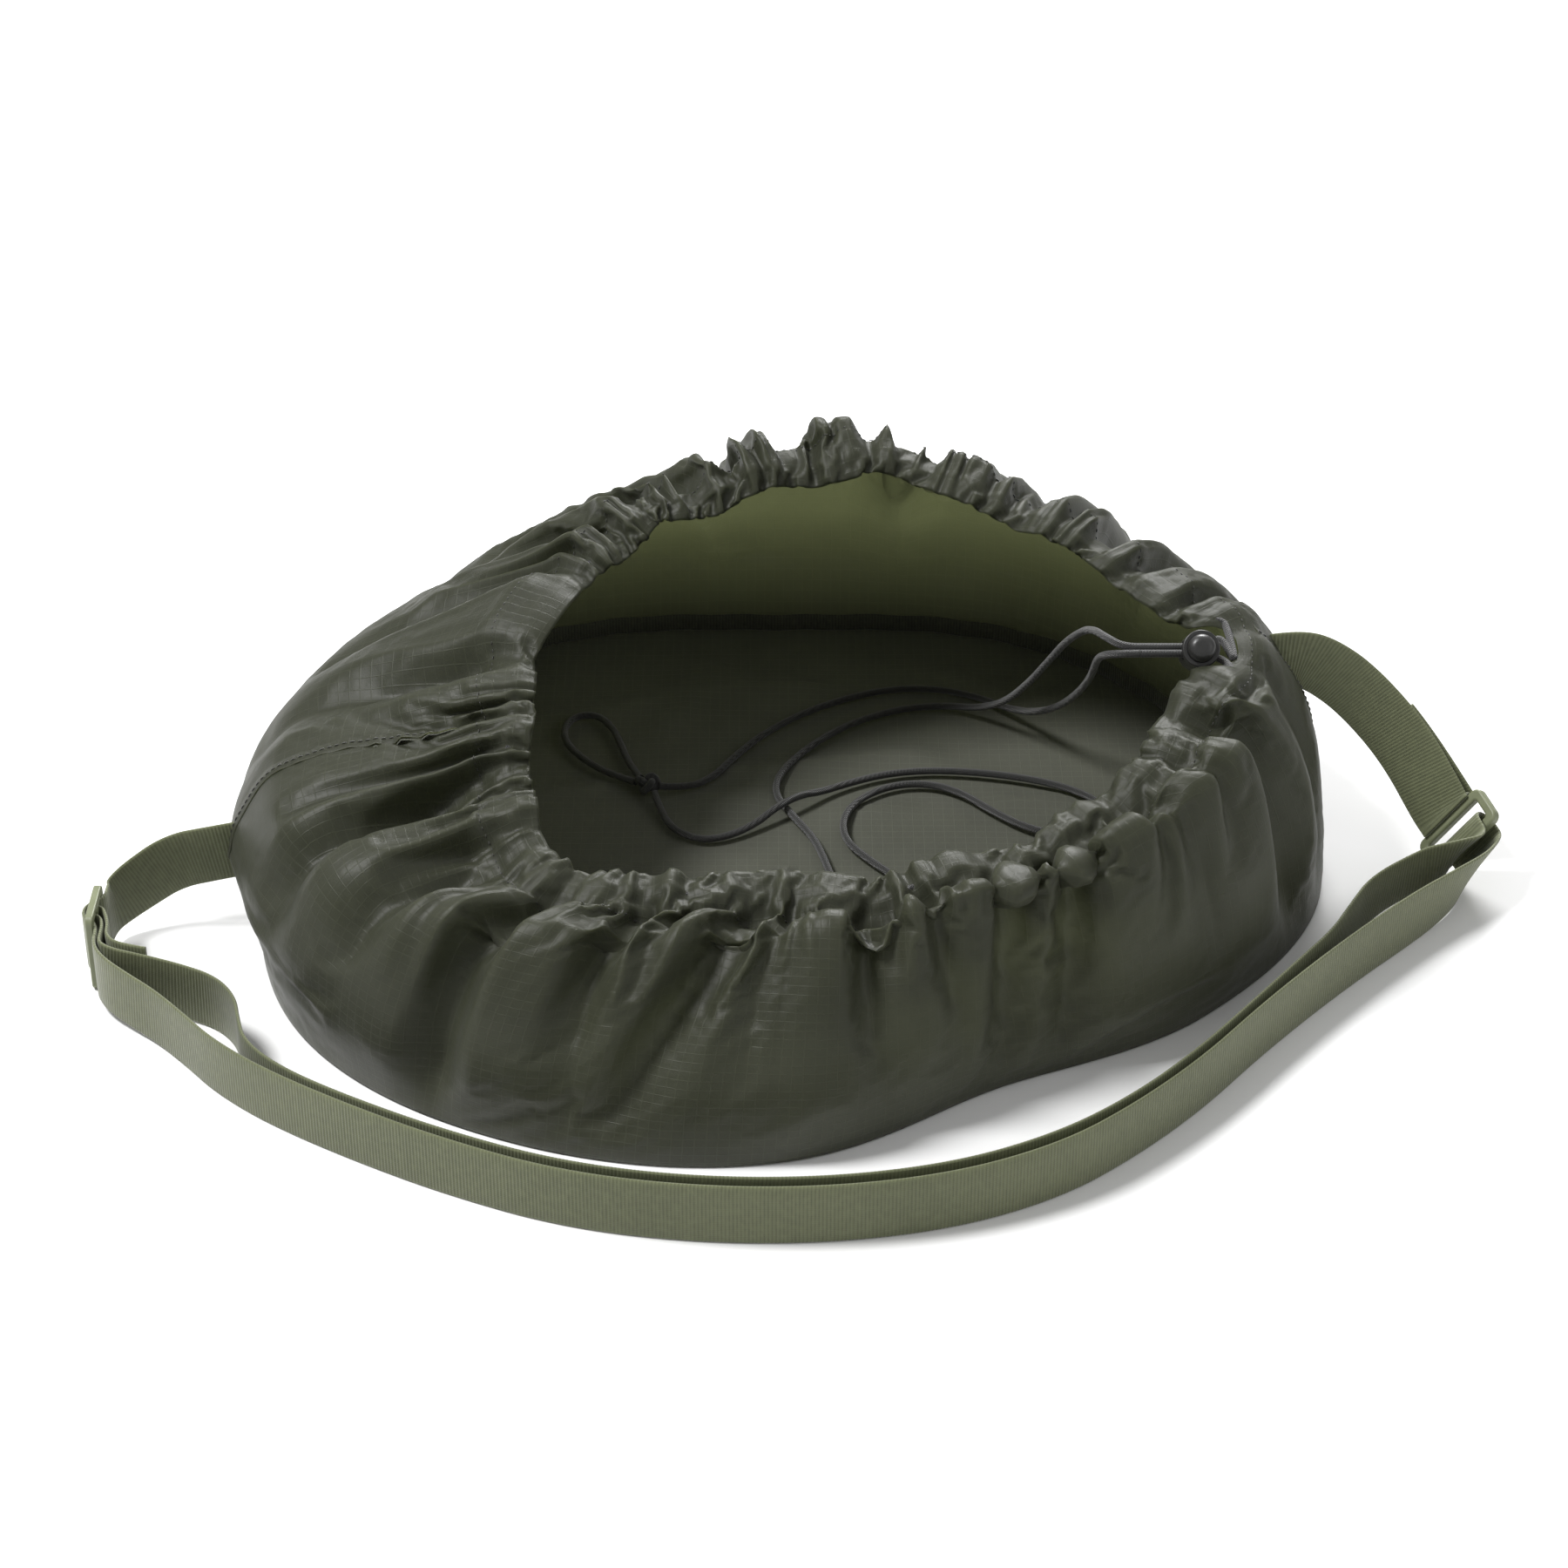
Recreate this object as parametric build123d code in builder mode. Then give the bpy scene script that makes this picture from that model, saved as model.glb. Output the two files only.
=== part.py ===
"""Drawstring rope storage bag with a shoulder strap, slumped open on the ground.

Frame: millimetres, +X right, +Y back, +Z up, origin at the centre of the base's underside.
"""

import math
import os

from build123d import *

# ---------------------------------------------------------------- driving dimensions
# Base outline: radius from the origin every 30 degrees, counter-clockwise from +X.
BASE_RADII = [214, 208, 210, 196, 210, 208, 205, 209, 195, 180, 158, 184]
WALL = 2.0  # stand-in thickness of the coated cloth and its gathers
BASE_THICK = 2.0
CLEAR = 0.3  # gap between cloth layers that lie on one another
BINDING_HIGH = 8.0
BINDING_SKIN = (1.0, 2.2)  # the binding's faces, in from the wall's inner face
SEAM_SKIN = (CLEAR, 1.3)  # the side seams' faces, in from the wall's inner face
SEAM_WIDE = 10.0
SEAM_LOW, SEAM_HIGH = 13.0, 115.0
SEAM_REACH = (120.0, 280.0)  # the stretch from the middle that one side seam lies in
# Wall stations from the ground to the hem: height, tilt, share of the way in to the mouth.
STATIONS = [(0, 0, 0.0), (26, 3, -0.03), (60, 9, 0.36), (92.6, 15, 1.0)]

# Mouth: a four-arc oval in a plane tipped forwards, through the middle of the drawcord.
MOUTH_X, MOUTH_Y, MOUTH_Z = 35.0, -7.0, 104.1
MOUTH_TILT = 15.0
OVAL_END = 40.0  # centres of the end arcs, left and right of the oval's centre
OVAL_SIDE = 30.0  # centres of the long arcs, across the oval's centre
OVAL_END_R = 92.0  # end arc radius at the mouth's inner edge
OVAL_SIDE_R = 142.0
HEM_WIDTH = 18.0
HEM_BELOW, HEM_ABOVE = 11.0, 9.0  # hem height either side of the drawcord
CHANNEL = 7.0  # square tunnel inside the hem
HEM_ROUND = 5.0
HEM_GAP = 28.0  # opening in the hem where the drawcord comes out
HEM_GAP_FROM, HEM_GAP_TO = 120.0, 200.0  # its reach outwards, from the oval's centre
HEM_GAP_HIGH = 60.0
HEM_GAP_V = 7.25  # its middle, along the tipped plane

# Side seams lie in one upright plane through the two strap anchors.
SEAM_Y0 = 2.0
SEAM_SLOPE = 0.1443

# Drawcord and its free tails
CORD_D = 3.0
STRAND_HALF = 1.75  # two strands side by side in the lock
CORD_STRAIGHT_END = 101.0  # straight stretch ends here, from the oval's centre
CORD_TURN_R = 7.0

# Cord lock: a sprung plunger in a barrel
LOCK_X, LOCK_Z = 159.0, 106.0
LOCK_AXIS = (0, -0.8, 0.6)
LOCK_R = 7.2
LOCK_BORE_R = 5.5
LOCK_BOTTOM, LOCK_TOP = -13.0, 7.0
LOCK_FLOOR = 1.2
LOCK_RIM_ROUND, LOCK_FOOT_ROUND = 2.0, 0.6
PLUNGER_R = 5.35
PLUNGER_BOTTOM, PLUNGER_TOP = -5.0, 12.0
PLUNGER_TRAVEL = 3.5
CROWN_ROUND = 3.4
CORD_HOLE_R = 3.7
CORD_HOLE_REACH = 20.0
SPRING_WIRE_R = 0.3
SPRING_R = 3.6
SPRING_TURNS = 4
SPRING_CLEAR = 0.1

# Webbing
WEB_W = 25.0
WEB_T = 1.4

# The strap lifts about the line through its two sewn ends.
PIVOT_LEFT_X, PIVOT_LEFT_Z = -220.0, 32.5
PIVOT_RIGHT_X, PIVOT_RIGHT_Z = 200.0, 84.5
PIVOT_GAP = 0.8

# Rectangular ring and three-bar slider
RING_AT = (268.0, 6.0, 18.6)
RING_BAR = (0.6, 0.0, 0.8)  # along the long bars
RING_PULL = (0.358, -0.895, -0.268)  # from the tab's bar to the strap's bar
RING_LONG, RING_SHORT = 35.6, 17.0
RING_ROD = 4.0
RING_CORNER, RING_INNER_CORNER, RING_ROUND = 3.5, 1.2, 1.1
SLIDER_AT = (-262.0, -63.0, 16.5)
SLIDER_HIGH, SLIDER_LONG, SLIDER_THICK = 33.0, 25.0, 3.0
SLIDER_SLOT = 7.0
SLIDER_BAR = 4.0
SLIDER_CORNER, SLOT_CORNER, SLIDER_ROUND = 3.0, 1.2, 0.6
SLOT_SPARE = 1.4  # how much longer a slot is than the webbing is wide

TILT = math.radians(MOUTH_TILT)
MOUTH_PLANE = Plane(
    origin=(MOUTH_X, MOUTH_Y, MOUTH_Z), x_dir=(1, 0, 0), z_dir=(0, -math.sin(TILT), math.cos(TILT))
)
OVAL_ANGLE = math.degrees(math.atan2(OVAL_SIDE, OVAL_END))


def save(part, name):
    """Label one finished piece and write its STEP file."""
    part.label = name
    export_step(part, f"parts/{name}.step")


# ---------------------------------------------------------------- bag cloth
def station_points(lean, inset):
    """Twelve points of one wall station, in its own plane."""
    wide = OVAL_END + OVAL_END_R + HEM_WIDTH / 2
    deep = OVAL_SIDE_R - OVAL_SIDE + HEM_WIDTH / 2
    points = []
    for step, base in enumerate(BASE_RADII):
        turn = math.radians(30 * step)
        mouth = wide * deep / math.hypot(deep * math.cos(turn), wide * math.sin(turn))
        radius = base * (1 - lean) + mouth * lean - inset
        points.append((radius * math.cos(turn), radius * math.sin(turn)))
    return points


def bag_form(inset):
    """The bag's closed form from the ground to the hem, drawn in by inset all round."""
    with BuildPart() as form:
        for height, tilt, lean in STATIONS:
            shift = max(lean, 0)
            angle = math.radians(tilt)
            plane = Plane(
                origin=(shift * MOUTH_X, shift * MOUTH_Y, height),
                x_dir=(1, 0, 0),
                z_dir=(0, -math.sin(angle), math.cos(angle)),
            )
            with BuildSketch(plane):
                with BuildLine():
                    Spline(*station_points(lean, inset), periodic=True)
                make_face()
        loft()
    return form.part


OUTER_FORM = bag_form(0)
INNER_FORM = bag_form(WALL)
SEAM_NORMAL = (-SEAM_SLOPE, 1, 0)
SEAM_PLANE = Plane(origin=(0, SEAM_Y0, 0), x_dir=(1, SEAM_SLOPE, 0), z_dir=SEAM_NORMAL)


def make_wall(name, keep):
    """One half of the wall, front or back of the side seams."""
    with BuildPart() as wall:
        add(OUTER_FORM)
        add(INNER_FORM, mode=Mode.SUBTRACT)
        split(bisect_by=SEAM_PLANE, keep=keep)
    save(wall.part, name)


def base_outline(inset):
    """Closed base outline, drawn in by inset."""
    with BuildLine() as line:
        Spline(*station_points(0, inset), periodic=True)
    return line.line


def make_base():
    """Base cloth and the bound seam that joins it to the wall, inside."""
    with BuildPart() as base_panel:
        with BuildSketch():
            with BuildLine():
                add(base_outline(WALL + CLEAR))
            make_face()
        extrude(amount=BASE_THICK)
    save(base_panel.part, "base_panel")
    with BuildPart() as binding:
        with BuildSketch(Plane.XY.offset(BASE_THICK)):
            with BuildLine():
                add(base_outline(WALL + BINDING_SKIN[0]))
            make_face()
            with BuildLine():
                add(base_outline(WALL + BINDING_SKIN[1]))
            make_face(mode=Mode.SUBTRACT)
        extrude(amount=BINDING_HIGH)
    save(binding.part, "base_seam_binding")


def make_side_seams():
    """Felled seam allowances inside the wall, left and right, from the binding to the hem."""
    outer = bag_form(WALL + SEAM_SKIN[0])
    inner = bag_form(WALL + SEAM_SKIN[1])
    long = SEAM_REACH[1] - SEAM_REACH[0]
    high = SEAM_HIGH - SEAM_LOW
    middle = (SEAM_REACH[0] + SEAM_REACH[1]) / 2
    for name, x in (("side_seam_left", -middle), ("side_seam_right", middle)):
        with BuildPart() as seam:
            add(outer)
            add(inner, mode=Mode.SUBTRACT)
            with Locations((x, SEAM_Y0 + SEAM_SLOPE * x, SEAM_LOW + high / 2)):
                Box(long, SEAM_WIDE, high, mode=Mode.INTERSECT)
        save(seam.part, name)


# ---------------------------------------------------------------- hem and drawcord
def oval(grow):
    """Four tangent arcs of the mouth's oval, grown outwards."""
    end_r = OVAL_END_R + grow
    side_r = OVAL_SIDE_R + grow
    size = 2 * OVAL_ANGLE
    CenterArc((OVAL_END, 0), end_r, -OVAL_ANGLE, size)
    CenterArc((0, -OVAL_SIDE), side_r, OVAL_ANGLE, 180 - size)
    CenterArc((-OVAL_END, 0), end_r, 180 - OVAL_ANGLE, size)
    CenterArc((0, OVAL_SIDE), side_r, 180 + OVAL_ANGLE, 180 - size)


def oval_band(plane, inner, outer, height):
    """A band between two ovals, extruded up from its plane."""
    with BuildPart() as band:
        with BuildSketch(plane):
            with BuildLine():
                oval(outer)
            make_face()
            with BuildLine():
                oval(inner)
            make_face(mode=Mode.SUBTRACT)
        extrude(amount=height)
    return band.part


def make_hem():
    """The hem in two halves, a soft rim with the drawcord's tunnel in it, open at the right."""
    hem_low = MOUTH_PLANE.offset(-HEM_BELOW)
    tunnel_low = MOUTH_PLANE.offset(-CHANNEL / 2)
    middle = HEM_WIDTH / 2
    rim = oval_band(hem_low, 0, HEM_WIDTH, HEM_BELOW + HEM_ABOVE)
    tunnel = oval_band(tunnel_low, middle - CHANNEL / 2, middle + CHANNEL / 2, CHANNEL)
    left_v = (SEAM_Y0 - SEAM_SLOPE * 100 - MOUTH_Y) / math.cos(TILT)
    span = 2 * (OVAL_END + OVAL_END_R)
    fall = math.degrees(math.atan2(HEM_GAP_V - left_v, span))
    cut = Plane(MOUTH_PLANE.location * Location((0, (HEM_GAP_V + left_v) / 2, 0), (90, 0, fall)))
    gap_long = HEM_GAP_TO - HEM_GAP_FROM
    for name, keep in (("hem_front", Keep.TOP), ("hem_back", Keep.BOTTOM)):
        with BuildPart() as hem:
            add(rim)
            fillet(hem.edges(), HEM_ROUND)
            add(tunnel, mode=Mode.SUBTRACT)
            with Locations(MOUTH_PLANE.location * Location((HEM_GAP_FROM + gap_long / 2, HEM_GAP_V, 0))):
                Box(gap_long, HEM_GAP, HEM_GAP_HIGH, mode=Mode.SUBTRACT)
            split(bisect_by=cut, keep=keep)
        save(hem.part, name)


def make_drawcord():
    """The drawcord round the mouth, then both strands side by side through the lock."""
    ring_r = OVAL_END_R + HEM_WIDTH / 2
    side_r = OVAL_SIDE_R + HEM_WIDTH / 2
    low = HEM_GAP_V - STRAND_HALF
    high = HEM_GAP_V + STRAND_HALF
    reach = ring_r - CORD_TURN_R
    low_c = (OVAL_END + math.sqrt(reach**2 - (low - CORD_TURN_R) ** 2), low - CORD_TURN_R)
    high_c = (OVAL_END + math.sqrt(reach**2 - (high + CORD_TURN_R) ** 2), high + CORD_TURN_R)
    low_a = math.degrees(math.atan2(low_c[1], low_c[0] - OVAL_END))
    high_a = math.degrees(math.atan2(high_c[1], high_c[0] - OVAL_END))
    size = 180 - 2 * OVAL_ANGLE
    with BuildPart() as drawcord:
        with BuildLine(MOUTH_PLANE) as path:
            Line((CORD_STRAIGHT_END, low), (low_c[0], low))
            CenterArc(low_c, CORD_TURN_R, 90, low_a - 90)
            CenterArc((OVAL_END, 0), ring_r, low_a, -OVAL_ANGLE - low_a)
            CenterArc((0, OVAL_SIDE), side_r, -OVAL_ANGLE, -size)
            CenterArc((-OVAL_END, 0), ring_r, 180 + OVAL_ANGLE, -2 * OVAL_ANGLE)
            CenterArc((0, -OVAL_SIDE), side_r, 180 - OVAL_ANGLE, -size)
            CenterArc((OVAL_END, 0), ring_r, OVAL_ANGLE, high_a - OVAL_ANGLE)
            CenterArc(high_c, CORD_TURN_R, high_a, -90 - high_a)
            Line((high_c[0], high), (CORD_STRAIGHT_END, high))
        with BuildSketch(path.line ^ 0):
            Circle(CORD_D / 2)
        sweep()
    save(drawcord.part, "drawcord")


# ---------------------------------------------------------------- free cord tails
STRAND_RISE = STRAND_HALF * math.sin(TILT)
STRAND_SIDE = STRAND_HALF * math.cos(TILT)
LOCK_SIDE_X = MOUTH_X + CORD_STRAIGHT_END
TAIL_A = [
    (LOCK_SIDE_X, STRAND_SIDE, LOCK_Z + STRAND_RISE),
    (LOCK_SIDE_X - 6, STRAND_SIDE, LOCK_Z + STRAND_RISE),
    (123.5, 8, 107.2), (120, 18, 104.5), (117, 32, 96), (112, 50, 80), (107, 68, 60),
    (101, 86, 39), (93, 102, 20), (83, 115, 8.5), (68, 123, 5), (48, 120, 5), (27, 108, 5),
    (10, 90, 5), (-2, 70, 5), (-4, 54, 5), (3, 39, 5), (12, 22, 5), (17, 3, 5), (21, -18, 5),
    (33, -33, 5), (47, -26, 5), (46, -8, 5), (33, 7, 5), (24, 21, 5), (24, 38, 5), (32, 52, 5),
    (45, 61, 5), (60, 62, 5), (73, 55, 5), (84, 42, 5), (98, 29, 5), (115, 22, 5), (130, 31, 5),
    (130, 48, 5), (115, 60, 5), (97, 67, 5), (77, 71, 5), (58, 72, 5), (41, 69, 5), (26, 62, 5),
    (15, 54, 6), (7, 47.5, 9), (-3, 38.5, 9), (-11, 31, 6), (-22, 23, 5), (-34, 20, 5),
    (-45, 28, 5), (-50, 41, 5), (-53, 52, 7),
]
TAIL_B = [
    (LOCK_SIDE_X, -STRAND_SIDE, LOCK_Z - STRAND_RISE),
    (LOCK_SIDE_X - 6, -STRAND_SIDE, LOCK_Z - STRAND_RISE),
    (123, 3.5, 102), (121.5, 13, 94.5), (122, 27, 83), (122, 45, 66), (119, 64, 47), (113, 83, 29),
    (105, 101, 15), (95, 117, 7), (81, 131, 5), (63, 137, 5), (44, 136, 5), (25, 128, 5),
    (7, 116, 5), (-9, 100, 5), (-21, 82, 5), (-29, 67, 5), (-39, 58, 5.5), (-51, 57, 7),
]
KNOT_AT = (-56, 58, 8)
KNOT_R = 5.6
END_LOOP = [
    (-59, 63, 7), (-64, 76, 5), (-68, 91, 5), (-72, 105, 5), (-78.5, 115, 5), (-88, 115, 5),
    (-93, 105, 5), (-91, 92, 5), (-83, 80, 5), (-72, 69, 5), (-61, 60, 7),
]


def corner_radii(points):
    """Arc radius at each inner corner: 0.45 of the shorter run over the tangent of half the turn."""
    radii = []
    for before, here, after in zip(points, points[1:], points[2:]):
        run_in = Vector(*here) - Vector(*before)
        run_out = Vector(*after) - Vector(*here)
        half = math.radians(run_in.get_angle(run_out) / 2)
        radii.append(0.45 * min(run_in.length, run_out.length) / math.tan(half))
    return radii


def make_cord(name, points):
    """One free stretch of cord: straight runs joined by tangent arcs."""
    radii = corner_radii(points)
    with BuildPart() as cord:
        with BuildLine() as path:
            FilletPolyline(*points, radius=radii)
        with BuildSketch(path.line ^ 0):
            Circle(CORD_D / 2)
        sweep()
    save(cord.part, name)
    length = sum(edge.length for edge in path.line.edges())
    share = cord.part.volume / (math.pi * (CORD_D / 2) ** 2 * length)
    print(f"{name}: length {length:.0f} mm, volume {share:.3f} of section times length")
    print("  radii", " ".join(f"{radius:.0f}" for radius in radii))


def make_knot():
    """The overhand knot that joins both tails, as a rounded lump."""
    with BuildPart() as knot:
        with Locations(KNOT_AT):
            Sphere(KNOT_R)
    save(knot.part, "end_knot")


# ---------------------------------------------------------------- cord lock
LOCK_PLANE = Plane(origin=(LOCK_X, 0, LOCK_Z), x_dir=(1, 0, 0), z_dir=LOCK_AXIS)
CORD_HOLE_PLANE = Plane(origin=(LOCK_X, 0, LOCK_Z), x_dir=LOCK_AXIS, z_dir=(1, 0, 0))


def make_lock():
    """Barrel, plunger with its long cord hole, and the spring under the plunger."""
    with BuildPart() as barrel:
        with BuildSketch(LOCK_PLANE.offset(LOCK_BOTTOM)):
            Circle(LOCK_R)
        extrude(amount=LOCK_TOP - LOCK_BOTTOM)
        ends = barrel.faces().filter_by(LOCK_PLANE).sort_by(Axis.Y)
        fillet(ends[-1].edges(), LOCK_RIM_ROUND)
        fillet(ends[0].edges(), LOCK_FOOT_ROUND)
        with BuildSketch(LOCK_PLANE.offset(LOCK_BOTTOM + LOCK_FLOOR)):
            Circle(LOCK_BORE_R)
        extrude(amount=LOCK_TOP - LOCK_BOTTOM, mode=Mode.SUBTRACT)
        with BuildSketch(CORD_HOLE_PLANE):
            Circle(CORD_HOLE_R)
        extrude(amount=CORD_HOLE_REACH, both=True, mode=Mode.SUBTRACT)
    save(barrel.part, "cord_lock_barrel")
    with BuildPart() as plunger:
        with BuildSketch(LOCK_PLANE.offset(PLUNGER_BOTTOM)):
            Circle(PLUNGER_R)
        extrude(amount=PLUNGER_TOP - PLUNGER_BOTTOM)
        crown = plunger.faces().filter_by(LOCK_PLANE).sort_by(Axis.Y)[0]
        fillet(crown.edges(), CROWN_ROUND)
        with BuildSketch(CORD_HOLE_PLANE):
            with Locations((PLUNGER_TRAVEL / 2, 0)):
                SlotCenterToCenter(PLUNGER_TRAVEL, 2 * CORD_HOLE_R)
        extrude(amount=CORD_HOLE_REACH, both=True, mode=Mode.SUBTRACT)
    save(plunger.part, "cord_lock_plunger")
    spring_low = LOCK_BOTTOM + LOCK_FLOOR + SPRING_WIRE_R + SPRING_CLEAR
    spring_high = PLUNGER_BOTTOM - SPRING_WIRE_R - SPRING_CLEAR
    height = spring_high - spring_low
    with BuildPart() as spring:
        with BuildLine() as coil:
            Helix(height / SPRING_TURNS, height, SPRING_R, LOCK_PLANE.offset(spring_low).origin, LOCK_AXIS)
        with BuildSketch(coil.line ^ 0):
            Circle(SPRING_WIRE_R)
        sweep(is_frenet=True)
    save(spring.part, "cord_lock_spring")


# ---------------------------------------------------------------- ring and slider
def flat_edges(normal):
    """Filter for edges that run square to a normal, so all but the upright ones."""

    def test(edge):
        return abs(edge.tangent_at(0.5).dot(normal)) < 0.01

    return test


RING_OUT = Vector(*RING_BAR).cross(Vector(*RING_PULL)).normalized()


def ring_point(bar, pull, side=0.0):
    """A point in the ring's frame: along its bars, along its pull, and out of its plane."""
    return Vector(*RING_AT) + Vector(*RING_BAR) * bar + Vector(*RING_PULL) * pull + RING_OUT * side


def make_ring():
    """Rectangular ring, round-edged, that joins the tab and the strap."""
    plane = Plane(origin=ring_point(0, 0, -RING_ROD / 2), x_dir=RING_BAR, z_dir=RING_OUT)
    with BuildPart() as ring:
        with BuildSketch(plane):
            RectangleRounded(RING_LONG, RING_SHORT, RING_CORNER)
            RectangleRounded(
                RING_LONG - 2 * RING_ROD, RING_SHORT - 2 * RING_ROD, RING_INNER_CORNER, mode=Mode.SUBTRACT
            )
        extrude(amount=RING_ROD)
        fillet(ring.edges().filter_by(flat_edges(plane.z_dir)), RING_ROUND)
    save(ring.part, "strap_ring")


def make_slider():
    """Three-bar slider, standing upright at the left."""
    left = SLIDER_AT[0] - SLIDER_THICK / 2
    plane = Plane(origin=(left, SLIDER_AT[1], SLIDER_AT[2]), x_dir=(0, 1, 0), z_dir=(1, 0, 0))
    slot = (SLIDER_BAR + SLIDER_SLOT) / 2
    with BuildPart() as slider:
        with BuildSketch(plane):
            RectangleRounded(SLIDER_LONG, SLIDER_HIGH, SLIDER_CORNER)
            with Locations((-slot, 0), (slot, 0)):
                RectangleRounded(SLIDER_SLOT, WEB_W + SLOT_SPARE, SLOT_CORNER, mode=Mode.SUBTRACT)
        extrude(amount=SLIDER_THICK)
        fillet(slider.edges().filter_by(flat_edges(plane.z_dir)), SLIDER_ROUND)
    save(slider.part, "strap_slider")


# ---------------------------------------------------------------- shoulder strap
# Seen from above: the outer layer leaves the slider beside its bars, runs round the front on
# its edge and ends in the loop at the ring; the inner layer comes back from the ring.
LAYER_LOW = 0.2
LAYER_MID = LAYER_LOW + WEB_W / 2
OUTER_ROUTE = [
    (-259.5, -80), (-259.2, -85), (-254, -93), (-244.5, -101), (-233, -110), (-221, -123),
    (-208, -139), (-187, -157), (-156, -177), (-120, -197), (-78, -215), (-32, -223.5),
    (15, -224), (60, -216), (98, -199), (126, -176), (152, -149), (176, -118), (199, -91),
    (222, -66), (243, -45),
]
INNER_ROUTE = [
    (-257.6, -80), (-257.2, -83.5), (-252, -87), (-240, -89.5), (-226, -93.5), (-212, -100),
    (-203, -112), (-200, -126), (-196, -140), (-181, -156), (-155, -173), (-120, -192),
    (-80, -209), (-36, -218), (12, -219), (58, -211), (95, -194.5), (124, -172.5), (150, -145),
    (173, -115.5), (194, -88), (208, -70), (217, -53),
]
# Through the slider: in by the far slot, over the middle bar, out by the near slot.
WEAVE_LOW = 4.0
WEAVE_MID = WEAVE_LOW + WEB_W / 2
WEAVE_ROUTE = [
    (-259.5, -46), (-259.5, -54.8), (-266.0, -59.4), (-266.0, -66.6), (-259.5, -71.2), (-259.5, -80),
]
WEAVE_RADII = [2.0, 1.6, 1.6, 2.0]
# The strap's sewn end: down to the middle bar, round it and back on itself.
SEWN_ROUTE = [
    (-257.6, -80), (-257.6, -71.5), (-259.7, -65.9), (-264.4, -65.9), (-264.4, -60.1),
    (-259.6, -60.1), (-257.2, -65.5), (-255.7, -71.5), (-255.5, -78.5), (-250, -84.6),
    (-239, -87.3),
]
SEWN_RADII = [1.5, 1.0, 1.0, 1.0, 1.0, 1.5, 1.5, 3, 8]
UP = (0, 0, 1)


def on_seam(x, z):
    """A point of the upright plane that holds both side seams."""
    return Vector(x, SEAM_Y0 + SEAM_SLOPE * x, z)


PIVOT_LEFT = on_seam(PIVOT_LEFT_X, PIVOT_LEFT_Z)
PIVOT_RIGHT = on_seam(PIVOT_RIGHT_X, PIVOT_RIGHT_Z)
PIVOT_AXIS = (PIVOT_RIGHT - PIVOT_LEFT).normalized()
LEG = 5.0  # straight legs of a fold, from the bar's centre
TAB_FOLD_R = RING_ROD / 2 + 0.7  # inside radius of the tab round its bar
STRAP_FOLD_R = RING_ROD / 2 + 2.7  # the strap's fold is slack, so the ring can tilt
TAB_FOLD_MID = TAB_FOLD_R + WEB_T / 2
STRAP_FOLD_MID = STRAP_FOLD_R + WEB_T / 2
BAR_AT = (RING_SHORT - RING_ROD) / 2
# Stations of the strips that twist or slope: centre, width direction, way along.
LEFT_RUN = [
    (PIVOT_LEFT - PIVOT_AXIS * PIVOT_GAP / 2, UP, -PIVOT_AXIS),
    ((-236, -30, 29), UP, (-0.9, -0.15, -0.35)),
    ((-250, -35.5, 21.5), UP, (-0.75, -0.6, -0.35)),
    ((-257.5, -41, 17.5), UP, (-0.5, -0.85, -0.2)),
    ((-259.5, -46, WEAVE_MID), UP, (0, -1, 0)),
]
OUTER_TURN = [
    ((243, -45, LAYER_MID), UP, (21, 21, 0)),
    ((260, -29, 13.2), (0.2, 0, 1), (14, 22, 0)),
    ((271, -16, 14), (0.45, 0, 0.9), (4, 22, 1)),
    (ring_point(0, BAR_AT + LEG, STRAP_FOLD_MID), RING_BAR, -Vector(*RING_PULL)),
]
INNER_TURN = [
    ((217, -53, LAYER_MID), UP, (9, 18, 0)),
    ((226, -35, 13.2), (0.1, 0, 1), (10, 18, 1)),
    ((243, -20.5, 15), (0.35, 0, 1), (18, 7, 2)),
    ((261, -13.5, 17), (0.5, 0, 0.87), (14, 14, 2)),
    (ring_point(0, BAR_AT + LEG, -STRAP_FOLD_MID), RING_BAR, -Vector(*RING_PULL)),
]
TAB = [
    (PIVOT_RIGHT + PIVOT_AXIS * PIVOT_GAP / 2, UP, PIVOT_AXIS),
    ((212, 32.6, 80), (0.15, 0, 1), (0.85, 0.1, -0.45)),
    ((228, 33, 67), (0.3, 0, 1), (0.75, -0.1, -0.65)),
    ((247, 28, 46), (0.5, 0, 0.87), (0.5, -0.35, -0.79)),
    (ring_point(0, -BAR_AT - LEG, -TAB_FOLD_MID), RING_BAR, RING_PULL),
]
TAB_LAYER_GAP = WEB_T + CLEAR
ANCHOR_LONG = 18.0
STITCH_INSET, STITCH_W, STITCH_HIGH, STITCH_GAP = 4.0, 1.4, 0.5, 0.05
STITCH_ROWS = [3, 12]


def station_normal(station):
    """Width direction and face normal of a webbing station."""
    _, wide, along = station
    across = Vector(*along).normalized()
    flat = (Vector(*wide) - across * Vector(*wide).dot(across)).normalized()
    return flat, flat.cross(across)


def beside(station, away):
    """The same station moved off its face."""
    centre, wide, along = station
    return Vector(*centre) + station_normal(station)[1] * away, wide, along


TAB_RETURN = [
    beside(TAB[3], TAB_LAYER_GAP),
    (ring_point(0, -BAR_AT - LEG, TAB_FOLD_MID), RING_BAR, RING_PULL),
]


def webbing_on_edge(name, points, low, radii=None):
    """A strip of webbing standing on its edge along a route seen from above."""
    with BuildPart() as strip:
        with BuildSketch(Plane.XY.offset(low)):
            with BuildLine():
                FilletPolyline(*points, radius=radii or corner_radii([(x, y, 0) for x, y in points]))
            trace(line_width=WEB_T)
        extrude(amount=WEB_W)
    save(strip.part, name)


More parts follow.
